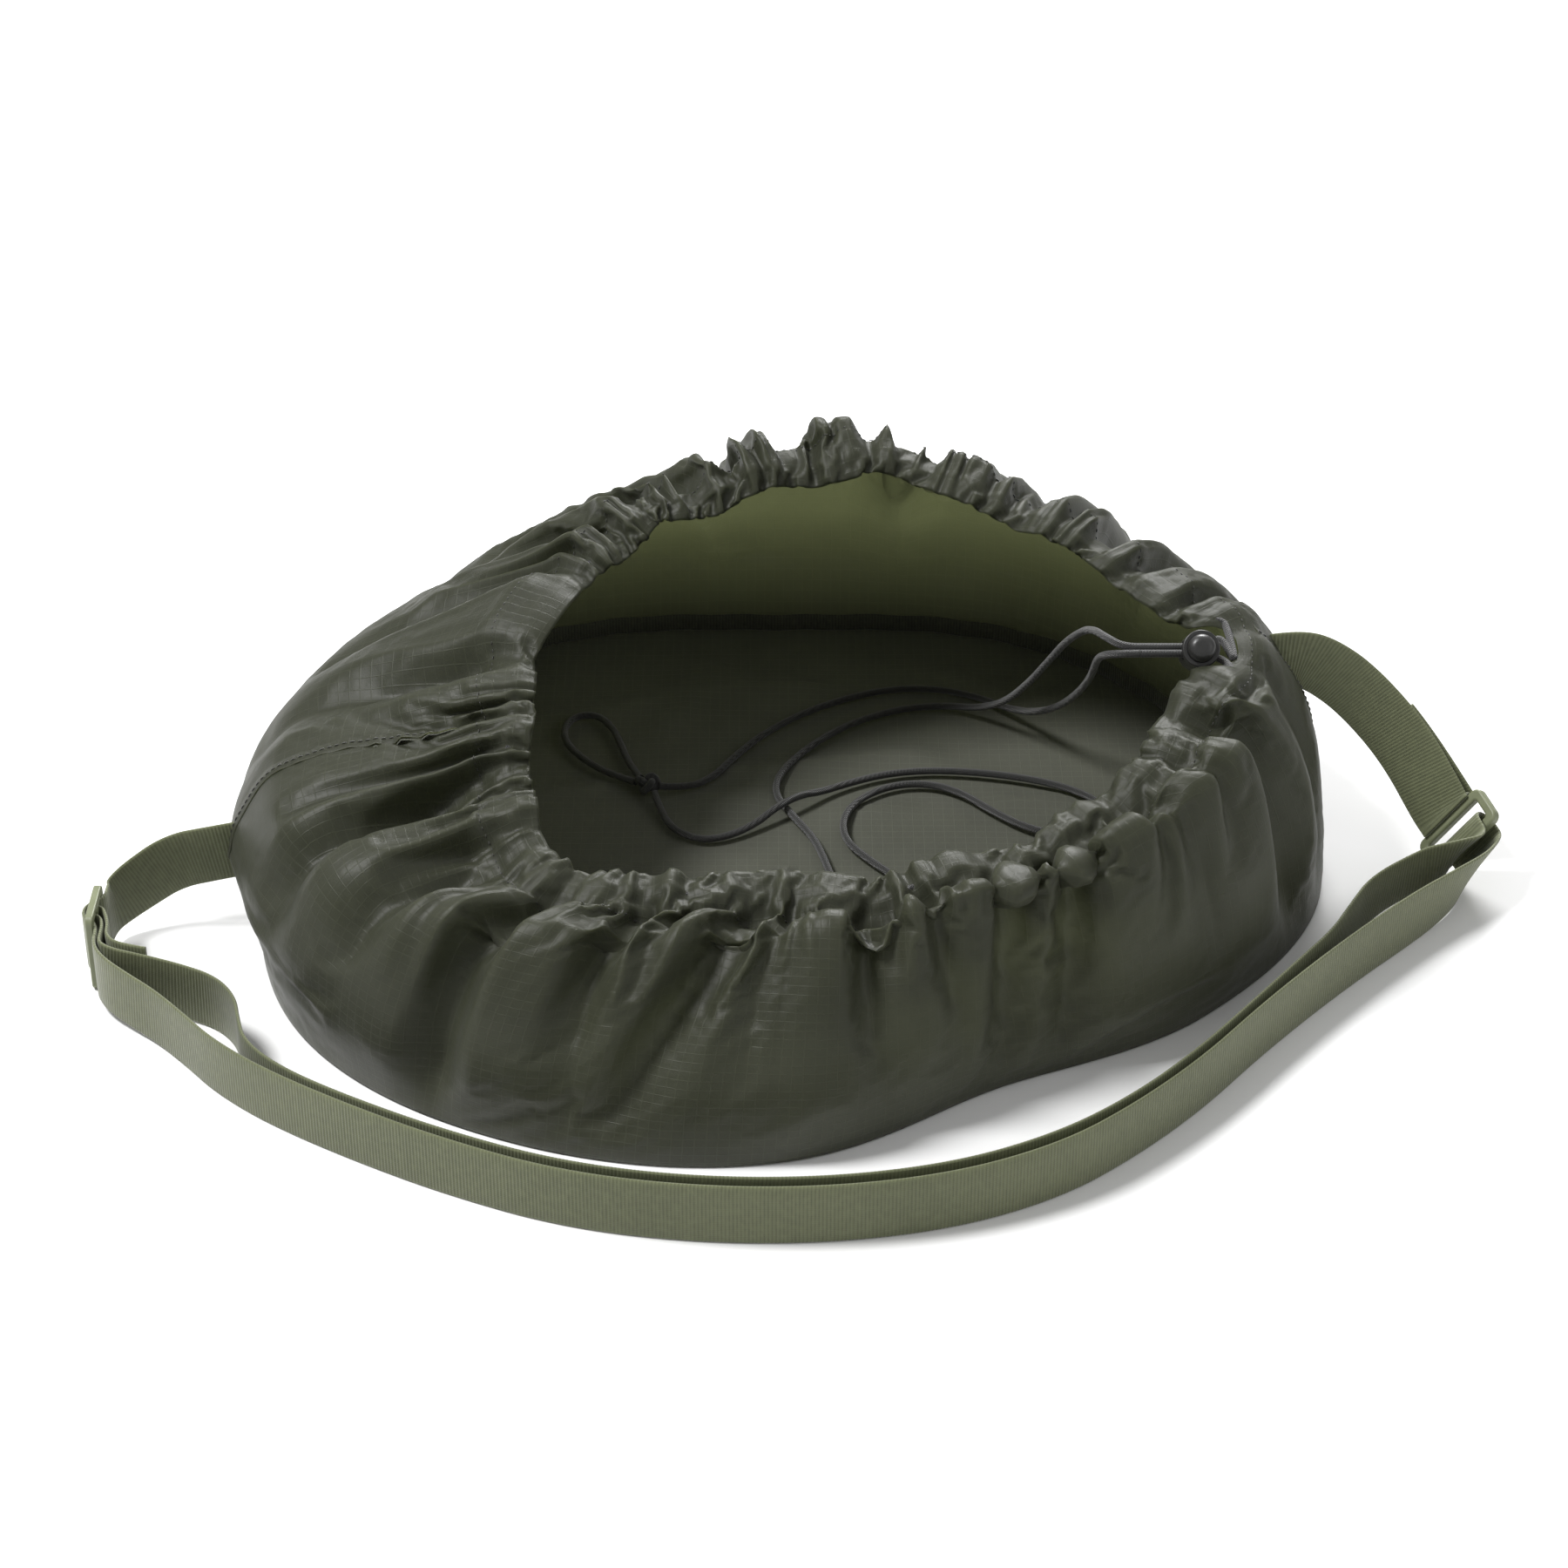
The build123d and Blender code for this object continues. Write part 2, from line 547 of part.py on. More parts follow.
def webbing_twist(name, stations):
    """A strip of webbing lofted through stations, straight from one to the next."""
    with BuildPart() as strip:
        for station in stations:
            flat, normal = station_normal(station)
            with BuildSketch(Plane(origin=Vector(*station[0]), x_dir=flat, z_dir=normal.cross(flat))):
                Rectangle(WEB_W, WEB_T)
        loft(ruled=True)
    save(strip.part, name)


def webbing_fold(name, facing, middle):
    """Webbing folded round one of the ring's bars, its legs pointing away from the ring."""
    origin = ring_point(-WEB_W / 2, facing * BAR_AT)
    plane = Plane(origin=origin, x_dir=Vector(*RING_PULL) * facing, z_dir=RING_BAR)
    with BuildPart() as fold:
        with BuildSketch(plane):
            with BuildLine():
                Line((LEG, middle), (0, middle))
                CenterArc((0, 0), middle, 90, 180)
                Line((0, -middle), (LEG, -middle))
            trace(line_width=WEB_T)
        extrude(amount=WEB_W)
    save(fold.part, name)


def make_anchor(name, pivot, inwards):
    """The strap's end sewn into a side seam, let into the wall's outer face."""
    middle = pivot + PIVOT_AXIS * inwards * (PIVOT_GAP / 2 + ANCHOR_LONG / 2)
    with BuildPart() as anchor:
        with BuildSketch(Plane(origin=middle, x_dir=PIVOT_AXIS, z_dir=Vector(*UP).cross(PIVOT_AXIS))):
            Rectangle(ANCHOR_LONG, WEB_W)
        extrude(amount=WEB_T / 2, both=True)
        add(OUTER_FORM, mode=Mode.SUBTRACT)
    save(anchor.part, name)


def make_stitches(name, station, rows):
    """Rows of bar-tack thread across a strip's outer face, each a low rounded ridge."""
    flat, normal = station_normal(station)
    plane = Plane(origin=Vector(*station[0]) + normal * (WEB_T / 2 + STITCH_GAP), x_dir=flat, z_dir=normal)
    with BuildPart() as thread:
        for row in rows:
            with BuildSketch(plane):
                with Locations((0, row)):
                    SlotOverall(WEB_W - STITCH_INSET, STITCH_W)
            extrude(amount=STITCH_HIGH)
    save(thread.part, name)


def make_strap():
    """Every stretch of the strap's webbing, its folds and its tab."""
    webbing_on_edge("strap_outer_layer", OUTER_ROUTE, LAYER_LOW)
    webbing_on_edge("strap_inner_layer", INNER_ROUTE, LAYER_LOW)
    webbing_on_edge("strap_slider_weave", WEAVE_ROUTE, WEAVE_LOW, WEAVE_RADII)
    webbing_on_edge("strap_sewn_end", SEWN_ROUTE, WEAVE_LOW, SEWN_RADII)
    webbing_twist("strap_left_run", LEFT_RUN)
    webbing_twist("strap_outer_turn", OUTER_TURN)
    webbing_twist("strap_inner_turn", INNER_TURN)
    webbing_fold("strap_ring_fold", 1, STRAP_FOLD_MID)
    webbing_fold("tab_ring_fold", -1, TAB_FOLD_MID)
    webbing_twist("ring_tab", TAB)
    webbing_twist("ring_tab_return", TAB_RETURN)
    make_anchor("strap_anchor_left", PIVOT_LEFT, 1)
    make_anchor("strap_anchor_right", PIVOT_RIGHT, -1)
    make_stitches("ring_tab_stitches", TAB_RETURN[0], STITCH_ROWS)


if __name__ == "__main__":
    os.makedirs("parts", exist_ok=True)
    make_wall("front_wall", Keep.BOTTOM)
    make_wall("back_wall", Keep.TOP)
    make_base()
    make_side_seams()
    make_hem()
    make_drawcord()
    make_cord("drawcord_tail_a", TAIL_A)
    make_cord("drawcord_tail_b", TAIL_B)
    make_cord("drawcord_end_loop", END_LOOP)
    make_knot()
    make_lock()
    make_ring()
    make_slider()
    make_strap()
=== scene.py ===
"""Looks of a drawstring rope storage bag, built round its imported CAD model.

Lengths in the tables are millimetres in the row frame; MM turns them into metres.
"""

import math

import bpy
import numpy as np
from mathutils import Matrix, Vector, noise


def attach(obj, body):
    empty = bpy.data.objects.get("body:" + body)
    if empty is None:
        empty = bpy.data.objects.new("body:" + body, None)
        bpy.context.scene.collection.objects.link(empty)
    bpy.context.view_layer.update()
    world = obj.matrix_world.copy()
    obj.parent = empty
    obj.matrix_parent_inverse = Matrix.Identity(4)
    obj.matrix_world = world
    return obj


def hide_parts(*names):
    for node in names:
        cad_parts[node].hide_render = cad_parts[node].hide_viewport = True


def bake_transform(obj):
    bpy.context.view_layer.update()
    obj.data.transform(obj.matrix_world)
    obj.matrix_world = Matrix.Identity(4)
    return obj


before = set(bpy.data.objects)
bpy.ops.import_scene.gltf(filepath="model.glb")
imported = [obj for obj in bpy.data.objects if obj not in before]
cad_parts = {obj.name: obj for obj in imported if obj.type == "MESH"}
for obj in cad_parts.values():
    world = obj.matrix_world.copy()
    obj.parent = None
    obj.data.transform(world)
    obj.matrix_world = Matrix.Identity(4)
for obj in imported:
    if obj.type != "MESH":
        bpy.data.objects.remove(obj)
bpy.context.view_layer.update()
MM = 0.001
RANDOM_SEED = 7

# ------------------------------------------------------------------ the bag's form
# Base outline: radius every 30 degrees, counter-clockwise from +X.
BASE_RADII = [214, 208, 210, 196, 210, 208, 205, 209, 195, 180, 158, 184]
# Two points of the wall's profile at the same directions: share of the way in from the
# base outline to the drawcord, and height.
MID_WALL = [
    (0.18, 58), (0.08, 62), (0.12, 66), (0.14, 70), (0.14, 60), (0.10, 50),
    (0.05, 46), (0.06, 46), (0.12, 42), (0.16, 40), (0.16, 42), (0.12, 50),
]
SHOULDER = [
    (0.68, 98), (0.62, 101), (0.80, 118), (0.86, 136), (0.74, 118), (0.48, 86),
    (0.28, 76), (0.30, 75), (0.52, 76), (0.62, 79), (0.55, 85), (0.46, 92),
]
# Slope of the hem, rising outwards, at the same directions.
HEM_SLOPE = [0, 4, 18, 36, 28, 12, -6, -12, -18, -20, -14, -6]
# How full the hem's casing stands at the same directions.
HEM_FULL = [0.6, 0.8, 1.0, 1.0, 1.0, 0.9, 0.5, 0.3, 0.25, 0.25, 0.25, 0.35]
# The drawcord's line round the mouth, counter-clockwise from the lock.
MOUTH = [
    (167, 2, 107), (162, 20, 108), (149, 38, 109), (131, 58, 113), (110, 77, 118),
    (88, 90, 123), (60, 100, 129), (36, 108, 133), (8, 102, 131), (-22, 88, 127),
    (-50, 78, 126), (-66, 62, 122), (-80, 44, 116), (-101, 8, 107), (-102, -18, 102),
    (-105, -60, 91), (-96, -90, 84), (-82, -110, 80), (-62, -121, 78), (-38, -123, 78),
    (-6, -119, 78), (26, -122, 77), (62, -110, 80), (90, -102, 82), (110, -86, 85),
    (136, -64, 92), (151, -38, 99), (164, -16, 104),
]
HEM_BELOW, HEM_ABOVE = 12.0, 9.5  # cloth either side of the drawcord
COLUMNS = 400
WALL_ROWS = 44
HEM_ROWS, RIM_ROWS = 4, 4  # rows from the hem's stitches to the drawcord, and on to the rim
HEM_NOTCH = 13.0  # half the gap in the hem at the cord lock
LOCK_AT = (159.0, 0.0, 106.0)


def link(obj):
    bpy.context.scene.collection.objects.link(obj)
    return obj


def around(table, turn):
    """A periodic table read at turn (0 to 1), smoothly."""
    table = np.asarray(table, float)
    n = len(table)
    x = np.asarray(turn) * n
    i = np.floor(x).astype(int)
    f = (x - i).reshape(-1, *([1] * (table.ndim - 1)))
    a, b, c, d = (table[(i + k) % n] for k in (-1, 0, 1, 2))
    return 0.5 * (
        2 * b + (c - a) * f + (2 * a - 5 * b + 4 * c - d) * f**2 + (3 * b - a - 3 * c + d) * f**3
    )


def even(points, count, closed=True):
    """count points evenly spaced along a line of points."""
    line = np.vstack([points, points[:1]]) if closed else np.asarray(points)
    along = np.concatenate([[0], np.cumsum(np.linalg.norm(np.diff(line, axis=0), axis=1))])
    at = np.linspace(0, along[-1], count, endpoint=not closed)
    return np.stack([np.interp(at, along, line[:, k]) for k in range(line.shape[1])], axis=1)


def through(points, count):
    """count points on a smooth open line through points (Catmull-Rom), evenly in the parameter."""
    p = np.asarray(points, float)
    p = np.vstack([2 * p[0] - p[1], p, 2 * p[-1] - p[-2]])
    x = np.linspace(0, len(p) - 3 - 1e-9, count)
    i = x.astype(int)
    f = (x - i).reshape(-1, *([1] * (p.ndim - 1)))
    a, b, c, d = (p[i + k] for k in range(4))
    return 0.5 * (
        2 * b + (c - a) * f + (2 * a - 5 * b + 4 * c - d) * f**2 + (3 * b - a - 3 * c + d) * f**3
    )


def wander(turn, seed, waves):
    """A smooth periodic random line round the bag, about -1 to 1."""
    rng = np.random.default_rng(seed)
    out = np.zeros_like(turn)
    for k in range(1, waves + 1):
        out += rng.normal() * np.cos(2 * np.pi * k * turn + rng.uniform(0, 6.28))
    return out / math.sqrt(waves) * 1.1


TURN = np.arange(COLUMNS) / COLUMNS


def base_ring(count=COLUMNS, inset=0.0):
    """Points of the base outline, evenly spaced."""
    turn = np.linspace(0, 1, 1440, endpoint=False)
    radius = around(BASE_RADII, turn) - inset
    ring = np.stack([radius * np.cos(2 * np.pi * turn), radius * np.sin(2 * np.pi * turn)], axis=1)
    return even(ring, count)


def mouth_places():
    """Where on the mouth's line each column ends, as a share of the way round: at the same
    direction from the mouth's centre as from the base's, pushed together or apart in zones."""
    mouth = even(around(MOUTH, np.linspace(0, 1, 2800, endpoint=False)), 2800)
    seen = np.unwrap(np.arctan2(mouth[:, 1] - MOUTH_CENTRE[1], mouth[:, 0] - MOUTH_CENTRE[0]))
    base = base_ring()
    wanted = np.unwrap(np.arctan2(base[:, 1], base[:, 0]))
    wanted += 2 * np.pi * round((seen[0] - wanted[0]) / (2 * np.pi))
    turns = np.concatenate([seen - 2 * np.pi, seen, seen + 2 * np.pi])
    places = np.interp(wanted, turns, np.arange(-2800, 5600) / 2800)
    share = np.diff(np.append(places, places[0] + 1))
    for at, width, add in SMOOTH_ZONES:
        away = np.abs((TURN - at + 0.5) % 1 - 0.5)
        share *= 1 + add * np.exp(-((away / width) ** 2))
    share /= share.sum()
    return places[0] + np.concatenate([[0], np.cumsum(share)[:-1]]), share * COLUMNS


# Where the hem is gathered less (adds) or more (takes away): turn, width, amount.
MOUTH_CENTRE = (8, -9)
SMOOTH_ZONES = [(0.475, 0.03, 0.8), (0.40, 0.03, -0.3), (0.57, 0.03, -0.2), (0.02, 0.03, -0.2)]


def smooth_form():
    """The wall's smooth form without its folds: rows from the ground to the hem's stitches,
    then the hem's slope, the drawcord's line and the hem's outward direction."""
    base = base_ring()
    ring = even(around(MOUTH, np.linspace(0, 1, 2800, endpoint=False)), 2800)
    places = mouth_places()[0]
    cord = ring[np.round(places * 2800).astype(int) % 2800]
    calm = 1 - hem_notch(cord)
    cord[:, 2] += 1.8 * wander(TURN, RANDOM_SEED + 6, 16) * calm
    cord[:, :2] *= 1 + 0.013 * (wander(TURN, RANDOM_SEED + 7, 18) * calm)[:, None]
    along = np.roll(cord, -1, axis=0) - np.roll(cord, 1, axis=0)
    out = np.stack([along[:, 1], -along[:, 0]], axis=1)
    out /= np.linalg.norm(out, axis=1)[:, None]
    direction = np.arctan2(base[:, 1], base[:, 0]) / (2 * np.pi) % 1
    mid, top = around(MID_WALL, direction), around(SHOULDER, direction)
    slope = np.radians(around(HEM_SLOPE, direction))
    hem = np.column_stack([out * np.cos(slope)[:, None], np.sin(slope)])
    stitch = cord + hem * HEM_BELOW

    def inwards(share_in, height):
        xy = base + (stitch[:, :2] - base) * share_in[:, None]
        return np.column_stack([xy, height])

    ground = np.column_stack([base, np.full(COLUMNS, 0.8)])
    stations = [ground, inwards(mid[:, 0], mid[:, 1]), inwards(top[:, 0], top[:, 1]), stitch]
    rows = np.zeros((WALL_ROWS + 1, COLUMNS, 3))
    for i in range(COLUMNS):
        rows[:, i] = even(through([s[i] for s in stations], 200), WALL_ROWS + 1, closed=False)
    return rows, cord, hem


def normals(grid):
    """Outward unit normals of a grid closed round its columns."""
    round_ = np.roll(grid, -1, axis=1) - np.roll(grid, 1, axis=1)
    up = np.gradient(grid, axis=0)
    n = np.cross(round_, up)
    return n / np.maximum(np.linalg.norm(n, axis=2, keepdims=True), 1e-9)


# Kinds of sharp valley that fan down from the gathered hem, between rounded folds: how many
# round the bag, depth, half width and length, all in millimetres.
FOLDS = [(26, 19.0, 24.0, 150.0), (34, 11.0, 14.0, 92.0), (56, 4.5, 7.0, 42.0)]
# How far down from the drawcord, and the deepest that a valley may be there.
FOLD_CAP = [-9.5, 0.0, 12.0, 45.0], [4.0, 4.5, 7.0, 18.0]
CRUMPLES = (46.0, 70.0, 1.5), (17.0, 24.0, 0.3)  # width, length and height of the small creases
GIRTH = 1265.0  # round the foot of the wall
PUFF, PUFF_FADE = 4.5, 14.0  # the cloth between the valleys stands out this far, less near the rim
BULGE, BULGE_TURN, BULGE_WIDE = 9.0, 0.52, 0.045  # where the left strap end is sewn in
BULGE_Z, BULGE_TALL = 34.0, 28.0
FOOT_ROWS = 9.0  # the folds fade out over this many rows above the ground


def fold_field(turn, away, gather):
    """Depth of the valleys at each turn and distance below the drawcord."""
    rng = np.random.default_rng(RANDOM_SEED)
    field = np.zeros(away.shape)
    for count, depth, half, length in FOLDS:
        places = (np.arange(count) + rng.uniform(-0.38, 0.38, count)) / count
        for at in places:
            deep = depth * rng.uniform(0.45, 1.25) * np.interp(at, turn, gather, period=1)
            wide = half * rng.uniform(0.7, 1.3)
            long = length * rng.uniform(0.5, 1.25)
            slant, bow = rng.normal(0, 0.10), rng.normal(0, 0.0012)
            down = np.clip(away, 0, None)
            reach = np.clip(1 - down / long, 0, 1) ** 1.1
            reach = reach * (0.4 + 0.6 * np.clip(down / 18, 0, 1)) * (1 + 0.3 * np.clip(-away / 9.5, 0, 1))
            shift = ((turn[None, :] - at + 0.5) % 1 - 0.5) * GIRTH - slant * down - bow * down**2
            side = np.clip(1 - np.abs(shift) / (wide * (0.62 + 0.5 * down / length)), 0, 1)
            field = np.maximum(field, deep * reach * side**1.5)
    return np.minimum(field, np.interp(away, FOLD_CAP[0], FOLD_CAP[1]))


def crumple(turn, away):
    """Small sharp creases all over, from ridged noise that is longer down the cloth than across it."""
    radius = GIRTH / (2 * np.pi)
    x, y = radius * np.cos(2 * np.pi * turn), radius * np.sin(2 * np.pi * turn)
    out = np.zeros(away.shape)
    for size, tall, height in CRUMPLES:
        for i in range(away.shape[0]):
            for j in range(away.shape[1]):
                value = noise.noise((x[j] / size, y[j] / size, away[i, j] / tall + size))
                out[i, j] += height * (0.35 - abs(value) * 1.6)
    return out


def soft_normals(grid, passes):
    """Outward normals averaged over their neighbours, so that points pushed along them don't cross."""
    n = normals(grid)
    for _ in range(passes):
        n = (np.roll(n, 1, axis=1) + 2 * n + np.roll(n, -1, axis=1)) / 4
        inner = (n[:-2] + 2 * n[1:-1] + n[2:]) / 4
        n = np.concatenate([n[:1], inner, n[-1:]])
    return n / np.maximum(np.linalg.norm(n, axis=2, keepdims=True), 1e-9)


def hem_notch(cord):
    """1 in the hem's gap at the lock, 0 away from it."""
    away = np.hypot(cord[:, 0] - LOCK_AT[0] - 8, cord[:, 1] - 2.0)
    return np.exp(-((away / HEM_NOTCH) ** 4))


def casing(place):
    """How far the hem's casing stands open, 0 to 1, at a place from its stitches to the rim."""
    return np.sin(np.pi * np.clip(place, 0, 1)) ** 0.8


def build_wall():
    """The outer cloth before it settles, from the ground to the rim.

    With it come each column's length, every point's distance from the drawcord, how tightly each
    column is gathered, and where the hem has its gap.
    """
    rows, cord, hem = smooth_form()
    along = np.roll(cord, -1, axis=0) - np.roll(cord, 1, axis=0)
    face = np.cross(along, hem)
    face *= np.sign(face[:, 2:3]) / np.linalg.norm(face, axis=1)[:, None]
    notch = hem_notch(cord)
    length = np.linalg.norm(np.diff(rows, axis=0), axis=2).sum(axis=0)
    reach = [HEM_BELOW * (1 - k / HEM_ROWS) for k in range(1, HEM_ROWS + 1)]
    reach += [-HEM_ABOVE * k / RIM_ROWS for k in range(1, RIM_ROWS + 1)]
    for r in reach:
        lowered = HEM_BELOW - (HEM_BELOW - r) * (1 - 0.75 * notch)
        open_ = 1.9 * casing((HEM_BELOW - r) / (HEM_BELOW + HEM_ABOVE)) * (1 - notch)
        rows = np.concatenate([rows, (cord + hem * lowered[:, None] + face * open_[:, None])[None]])
    n = normals(rows)
    low = np.linspace(1, 0, WALL_ROWS + 1)[:, None] * length[None, :]
    away = np.concatenate([low + HEM_BELOW, np.repeat(np.array(reach)[:, None], COLUMNS, axis=1)])
    gather = np.sqrt(np.clip(1.6 / mouth_places()[1] - 1.0, 0.02, 1.2) / 0.6)
    height = PUFF * np.clip(away / PUFF_FADE, 0.3, 1) - fold_field(TURN, away, gather)
    beside = np.exp(-(((TURN - BULGE_TURN) / BULGE_WIDE) ** 2))
    height += BULGE * beside * np.exp(-(((rows[:, :, 2] - BULGE_Z) / BULGE_TALL) ** 2))
    height *= np.clip(np.arange(len(rows)) / FOOT_ROWS, 0, 1)[:, None] * (1 - 0.8 * notch)
    return rows + n * height[:, :, None], length, away, gather, notch


def twice(grid):
    """A grid with a point added between every two, on smooth lines through the old ones."""
    ahead, behind, beyond = (np.roll(grid, k, 1) for k in (-1, 1, -2))
    wide = np.stack([grid, (9 * (grid + ahead) - behind - beyond) / 16], 2)
    wide = wide.reshape(grid.shape[0], -1, *grid.shape[2:])
    padded = np.concatenate([2 * wide[:1] - wide[1:2], wide, 2 * wide[-1:] - wide[-2:-1]])
    between = (9 * (padded[1:-2] + padded[2:-1]) - padded[:-3] - padded[3:]) / 16
    out = np.empty((2 * len(wide) - 1, *wide.shape[1:]))
    out[0::2], out[1::2] = wide, between
    return out


def sharpen(outer, away, gather, notch):
    """Twice as many points, with the folds' crests and the small creases sharp on them again."""
    outer, away = twice(outer), twice(away)
    turn = np.arange(2 * COLUMNS) / (2 * COLUMNS)
    gather, notch = np.repeat(gather, 2), np.repeat(notch, 2)
    low = np.clip(np.arange(len(outer)) / 14.0, 0, 1)[:, None]
    hem = np.clip(away / HEM_BELOW, 0.35, 1)
    height = crumple(turn, away) * (0.3 + 0.7 * gather) * hem
    height = height - 0.5 * fold_field(turn, away, gather) * hem
    height = height * low * (1 - 0.9 * notch)
    return outer + soft_normals(outer, 12) * height[:, :, None], notch


def grid_mesh(name, grid, closed, uv=None):
    """A quad mesh over a grid of points in millimetres; closed joins the last column to the first."""
    rows, cols, _ = grid.shape
    i = np.arange(rows - 1)[:, None]
    j = np.arange(cols if closed else cols - 1)[None, :]
    k = (j + 1) % cols
    quads = np.stack([i * cols + j, i * cols + k, (i + 1) * cols + k, (i + 1) * cols + j], axis=2)
    mesh = bpy.data.meshes.new(name)
    mesh.from_pydata((grid.reshape(-1, 3) * MM).tolist(), [], quads.reshape(-1, 4).tolist())
    if uv is not None:
        layer = mesh.uv_layers.new(name="cloth")
        u, v = uv
        corners = []
        for a, b in ((0, 0), (0, 1), (1, 1), (1, 0)):
            uu = np.broadcast_to((j + b) * u, (rows - 1, j.shape[1]))
            vv = v[(i + a)] if np.ndim(v) == 1 else v[i + a, (j + b) % cols]
            corners.append(np.stack([uu, np.broadcast_to(vv, uu.shape)], axis=2))
        layer.data.foreach_set("uv", np.stack(corners, axis=2).astype(np.float32).ravel())
    for poly in mesh.polygons:
        poly.use_smooth = True
    return link(bpy.data.objects.new(name, mesh))


CLOTH = {
    "quality": 6,
    "mass": 0.12,
    "tension_stiffness": 12,
    "compression_stiffness": 12,
    "shear_stiffness": 3,
    "bending_stiffness": 0.8,
    "tension_damping": 8,
    "compression_damping": 8,
    "shear_damping": 3,
    "bending_damping": 0.5,
    "air_damping": 2,
    "use_pressure": True,
    "uniform_pressure_force": 1.3,
}
CLOTH_GRAVITY = 0.08


def simulate(obj, rest, pinned, frames=12):
    """Lets the wall settle as cloth cut larger than its gathered mouth, then takes the result."""
    obj.shape_key_add(name="Basis")
    key = obj.shape_key_add(name="flat cut", from_mix=False)
    key.data.foreach_set("co", (rest.reshape(-1, 3) * MM).astype(np.float32).ravel())
    group = obj.vertex_groups.new(name="pinned")
    for value in np.unique(pinned):
        if value > 0:
            group.add(np.nonzero(pinned.ravel() == value)[0].tolist(), float(value), "REPLACE")
    cloth = obj.modifiers.new("cloth", "CLOTH")
    s = cloth.settings
    for name, value in CLOTH.items():
        setattr(s, name, value)
    s.vertex_group_mass = "pinned"
    s.rest_shape_key = key
    s.effector_weights.gravity = CLOTH_GRAVITY
    c = cloth.collision_settings
    c.use_self_collision = True
    c.self_distance_min = 0.0012
    c.collision_quality = 2
    scene = bpy.context.scene
    cloth.point_cache.frame_start = 1
    cloth.point_cache.frame_end = frames
    for f in range(1, frames + 1):
        scene.frame_set(f)
    held = obj.evaluated_get(bpy.context.evaluated_depsgraph_get())
    co = np.zeros(len(obj.data.vertices) * 3, np.float32)
    held.data.vertices.foreach_get("co", co)
    obj.modifiers.remove(cloth)
    obj.shape_key_clear()
    scene.frame_set(1)
    return co.reshape(-1, 3).astype(float) / MM


def casing_inside(outer, notch):
    """The inner layer of the hem's casing, from the rim back down to the stitches."""
    n = soft_normals(outer, 4)
    full = around(HEM_FULL, np.arctan2(outer[0, :, 1], outer[0, :, 0]) / (2 * np.pi) % 1)
    rows = []
    count = 2 * (HEM_ROWS + RIM_ROWS)
    for k in range(1, count + 1):
        place = 1 - k / count
        away = 0.5 + (3.3 + 1.2 * full) * casing(place) * (1 - notch)
        row = len(outer) - 1 - k
        rows.append(outer[row] - n[row] * away[:, None])
    return np.array(rows)


def ring_tube(line, radius, sides, closed=False):
    """Rings of points round a line, carried along it without twisting."""
    line = np.asarray(line, float)
    step = np.roll(line, -1, axis=0) - np.roll(line, 1, axis=0) if closed else np.gradient(line, axis=0)
    step /= np.maximum(np.linalg.norm(step, axis=1), 1e-9)[:, None]
    side = np.cross(step[0], (0.3, 0.2, 0.9))
    side /= np.linalg.norm(side)
    turn = np.arange(sides) / sides * 2 * np.pi
    rings = []
    for p, t in zip(line, step):
        side = side - t * side.dot(t)
        side /= np.linalg.norm(side)
        up = np.cross(t, side)
        rings.append(p + radius * (np.cos(turn)[:, None] * side + np.sin(turn)[:, None] * up))
    return np.array(rings)


def solid_from_rings(name, rings, uv=None):
    """A closed mesh from rings of points in millimetres, capped at both ends."""
    count, sides, _ = rings.shape
    i = np.arange(count - 1)[:, None]
    j = np.arange(sides)[None, :]
    k = (j + 1) % sides
    quads = np.stack([i * sides + j, i * sides + k, (i + 1) * sides + k, (i + 1) * sides + j], axis=2)
    faces = quads.reshape(-1, 4).tolist()
    faces.append(list(range(sides))[::-1])
    faces.append(list(range((count - 1) * sides, count * sides)))
    mesh = bpy.data.meshes.new(name)
    mesh.from_pydata((rings.reshape(-1, 3) * MM).tolist(), [], faces)
    if uv is not None:
        across, length = uv
        corner = []
        for a, b in ((0, 0), (0, 1), (1, 1), (1, 0)):
            u = np.broadcast_to(across[j + b], (count - 1, sides))
            v = np.broadcast_to(length[i + a], (count - 1, sides))
            corner.append(np.stack([u, v], axis=2))
        flat = np.stack(corner, axis=2).reshape(-1, 2)
        flat = np.vstack([flat, np.zeros((2 * sides, 2))])
        mesh.uv_layers.new(name="cloth").data.foreach_set("uv", (flat * MM).astype(np.float32).ravel())
    for poly in mesh.polygons:
        poly.use_smooth = len(poly.vertices) == 4
    return link(bpy.data.objects.new(name, mesh))


def corner_cut(points, per_run=24):
    """A smooth line that rounds the corners of a route, tangent to every run at its middle."""
    p = np.asarray(points, float)
    middles = (p[:-1] + p[1:]) / 2
    t = np.linspace(0, 1, per_run, endpoint=False)[:, None]
    out = [p[:1]]
    for k in range(1, len(p) - 1):
        a = p[0] if k == 1 else middles[k - 1]
        c = p[-1] if k == len(p) - 2 else middles[k]
        out.append((1 - t) ** 2 * a + 2 * t * (1 - t) * p[k] + t**2 * c)
    out.append(p[-1:])
    return np.vstack(out)


WEB_W, WEB_T = 25.0, 1.4
RIB = 1.35  # one rib of the webbing's weave, along the strap
WEB_SIDES = [-1.0, -0.985, -0.93, -0.5, 0.0, 0.5, 0.93, 0.985]


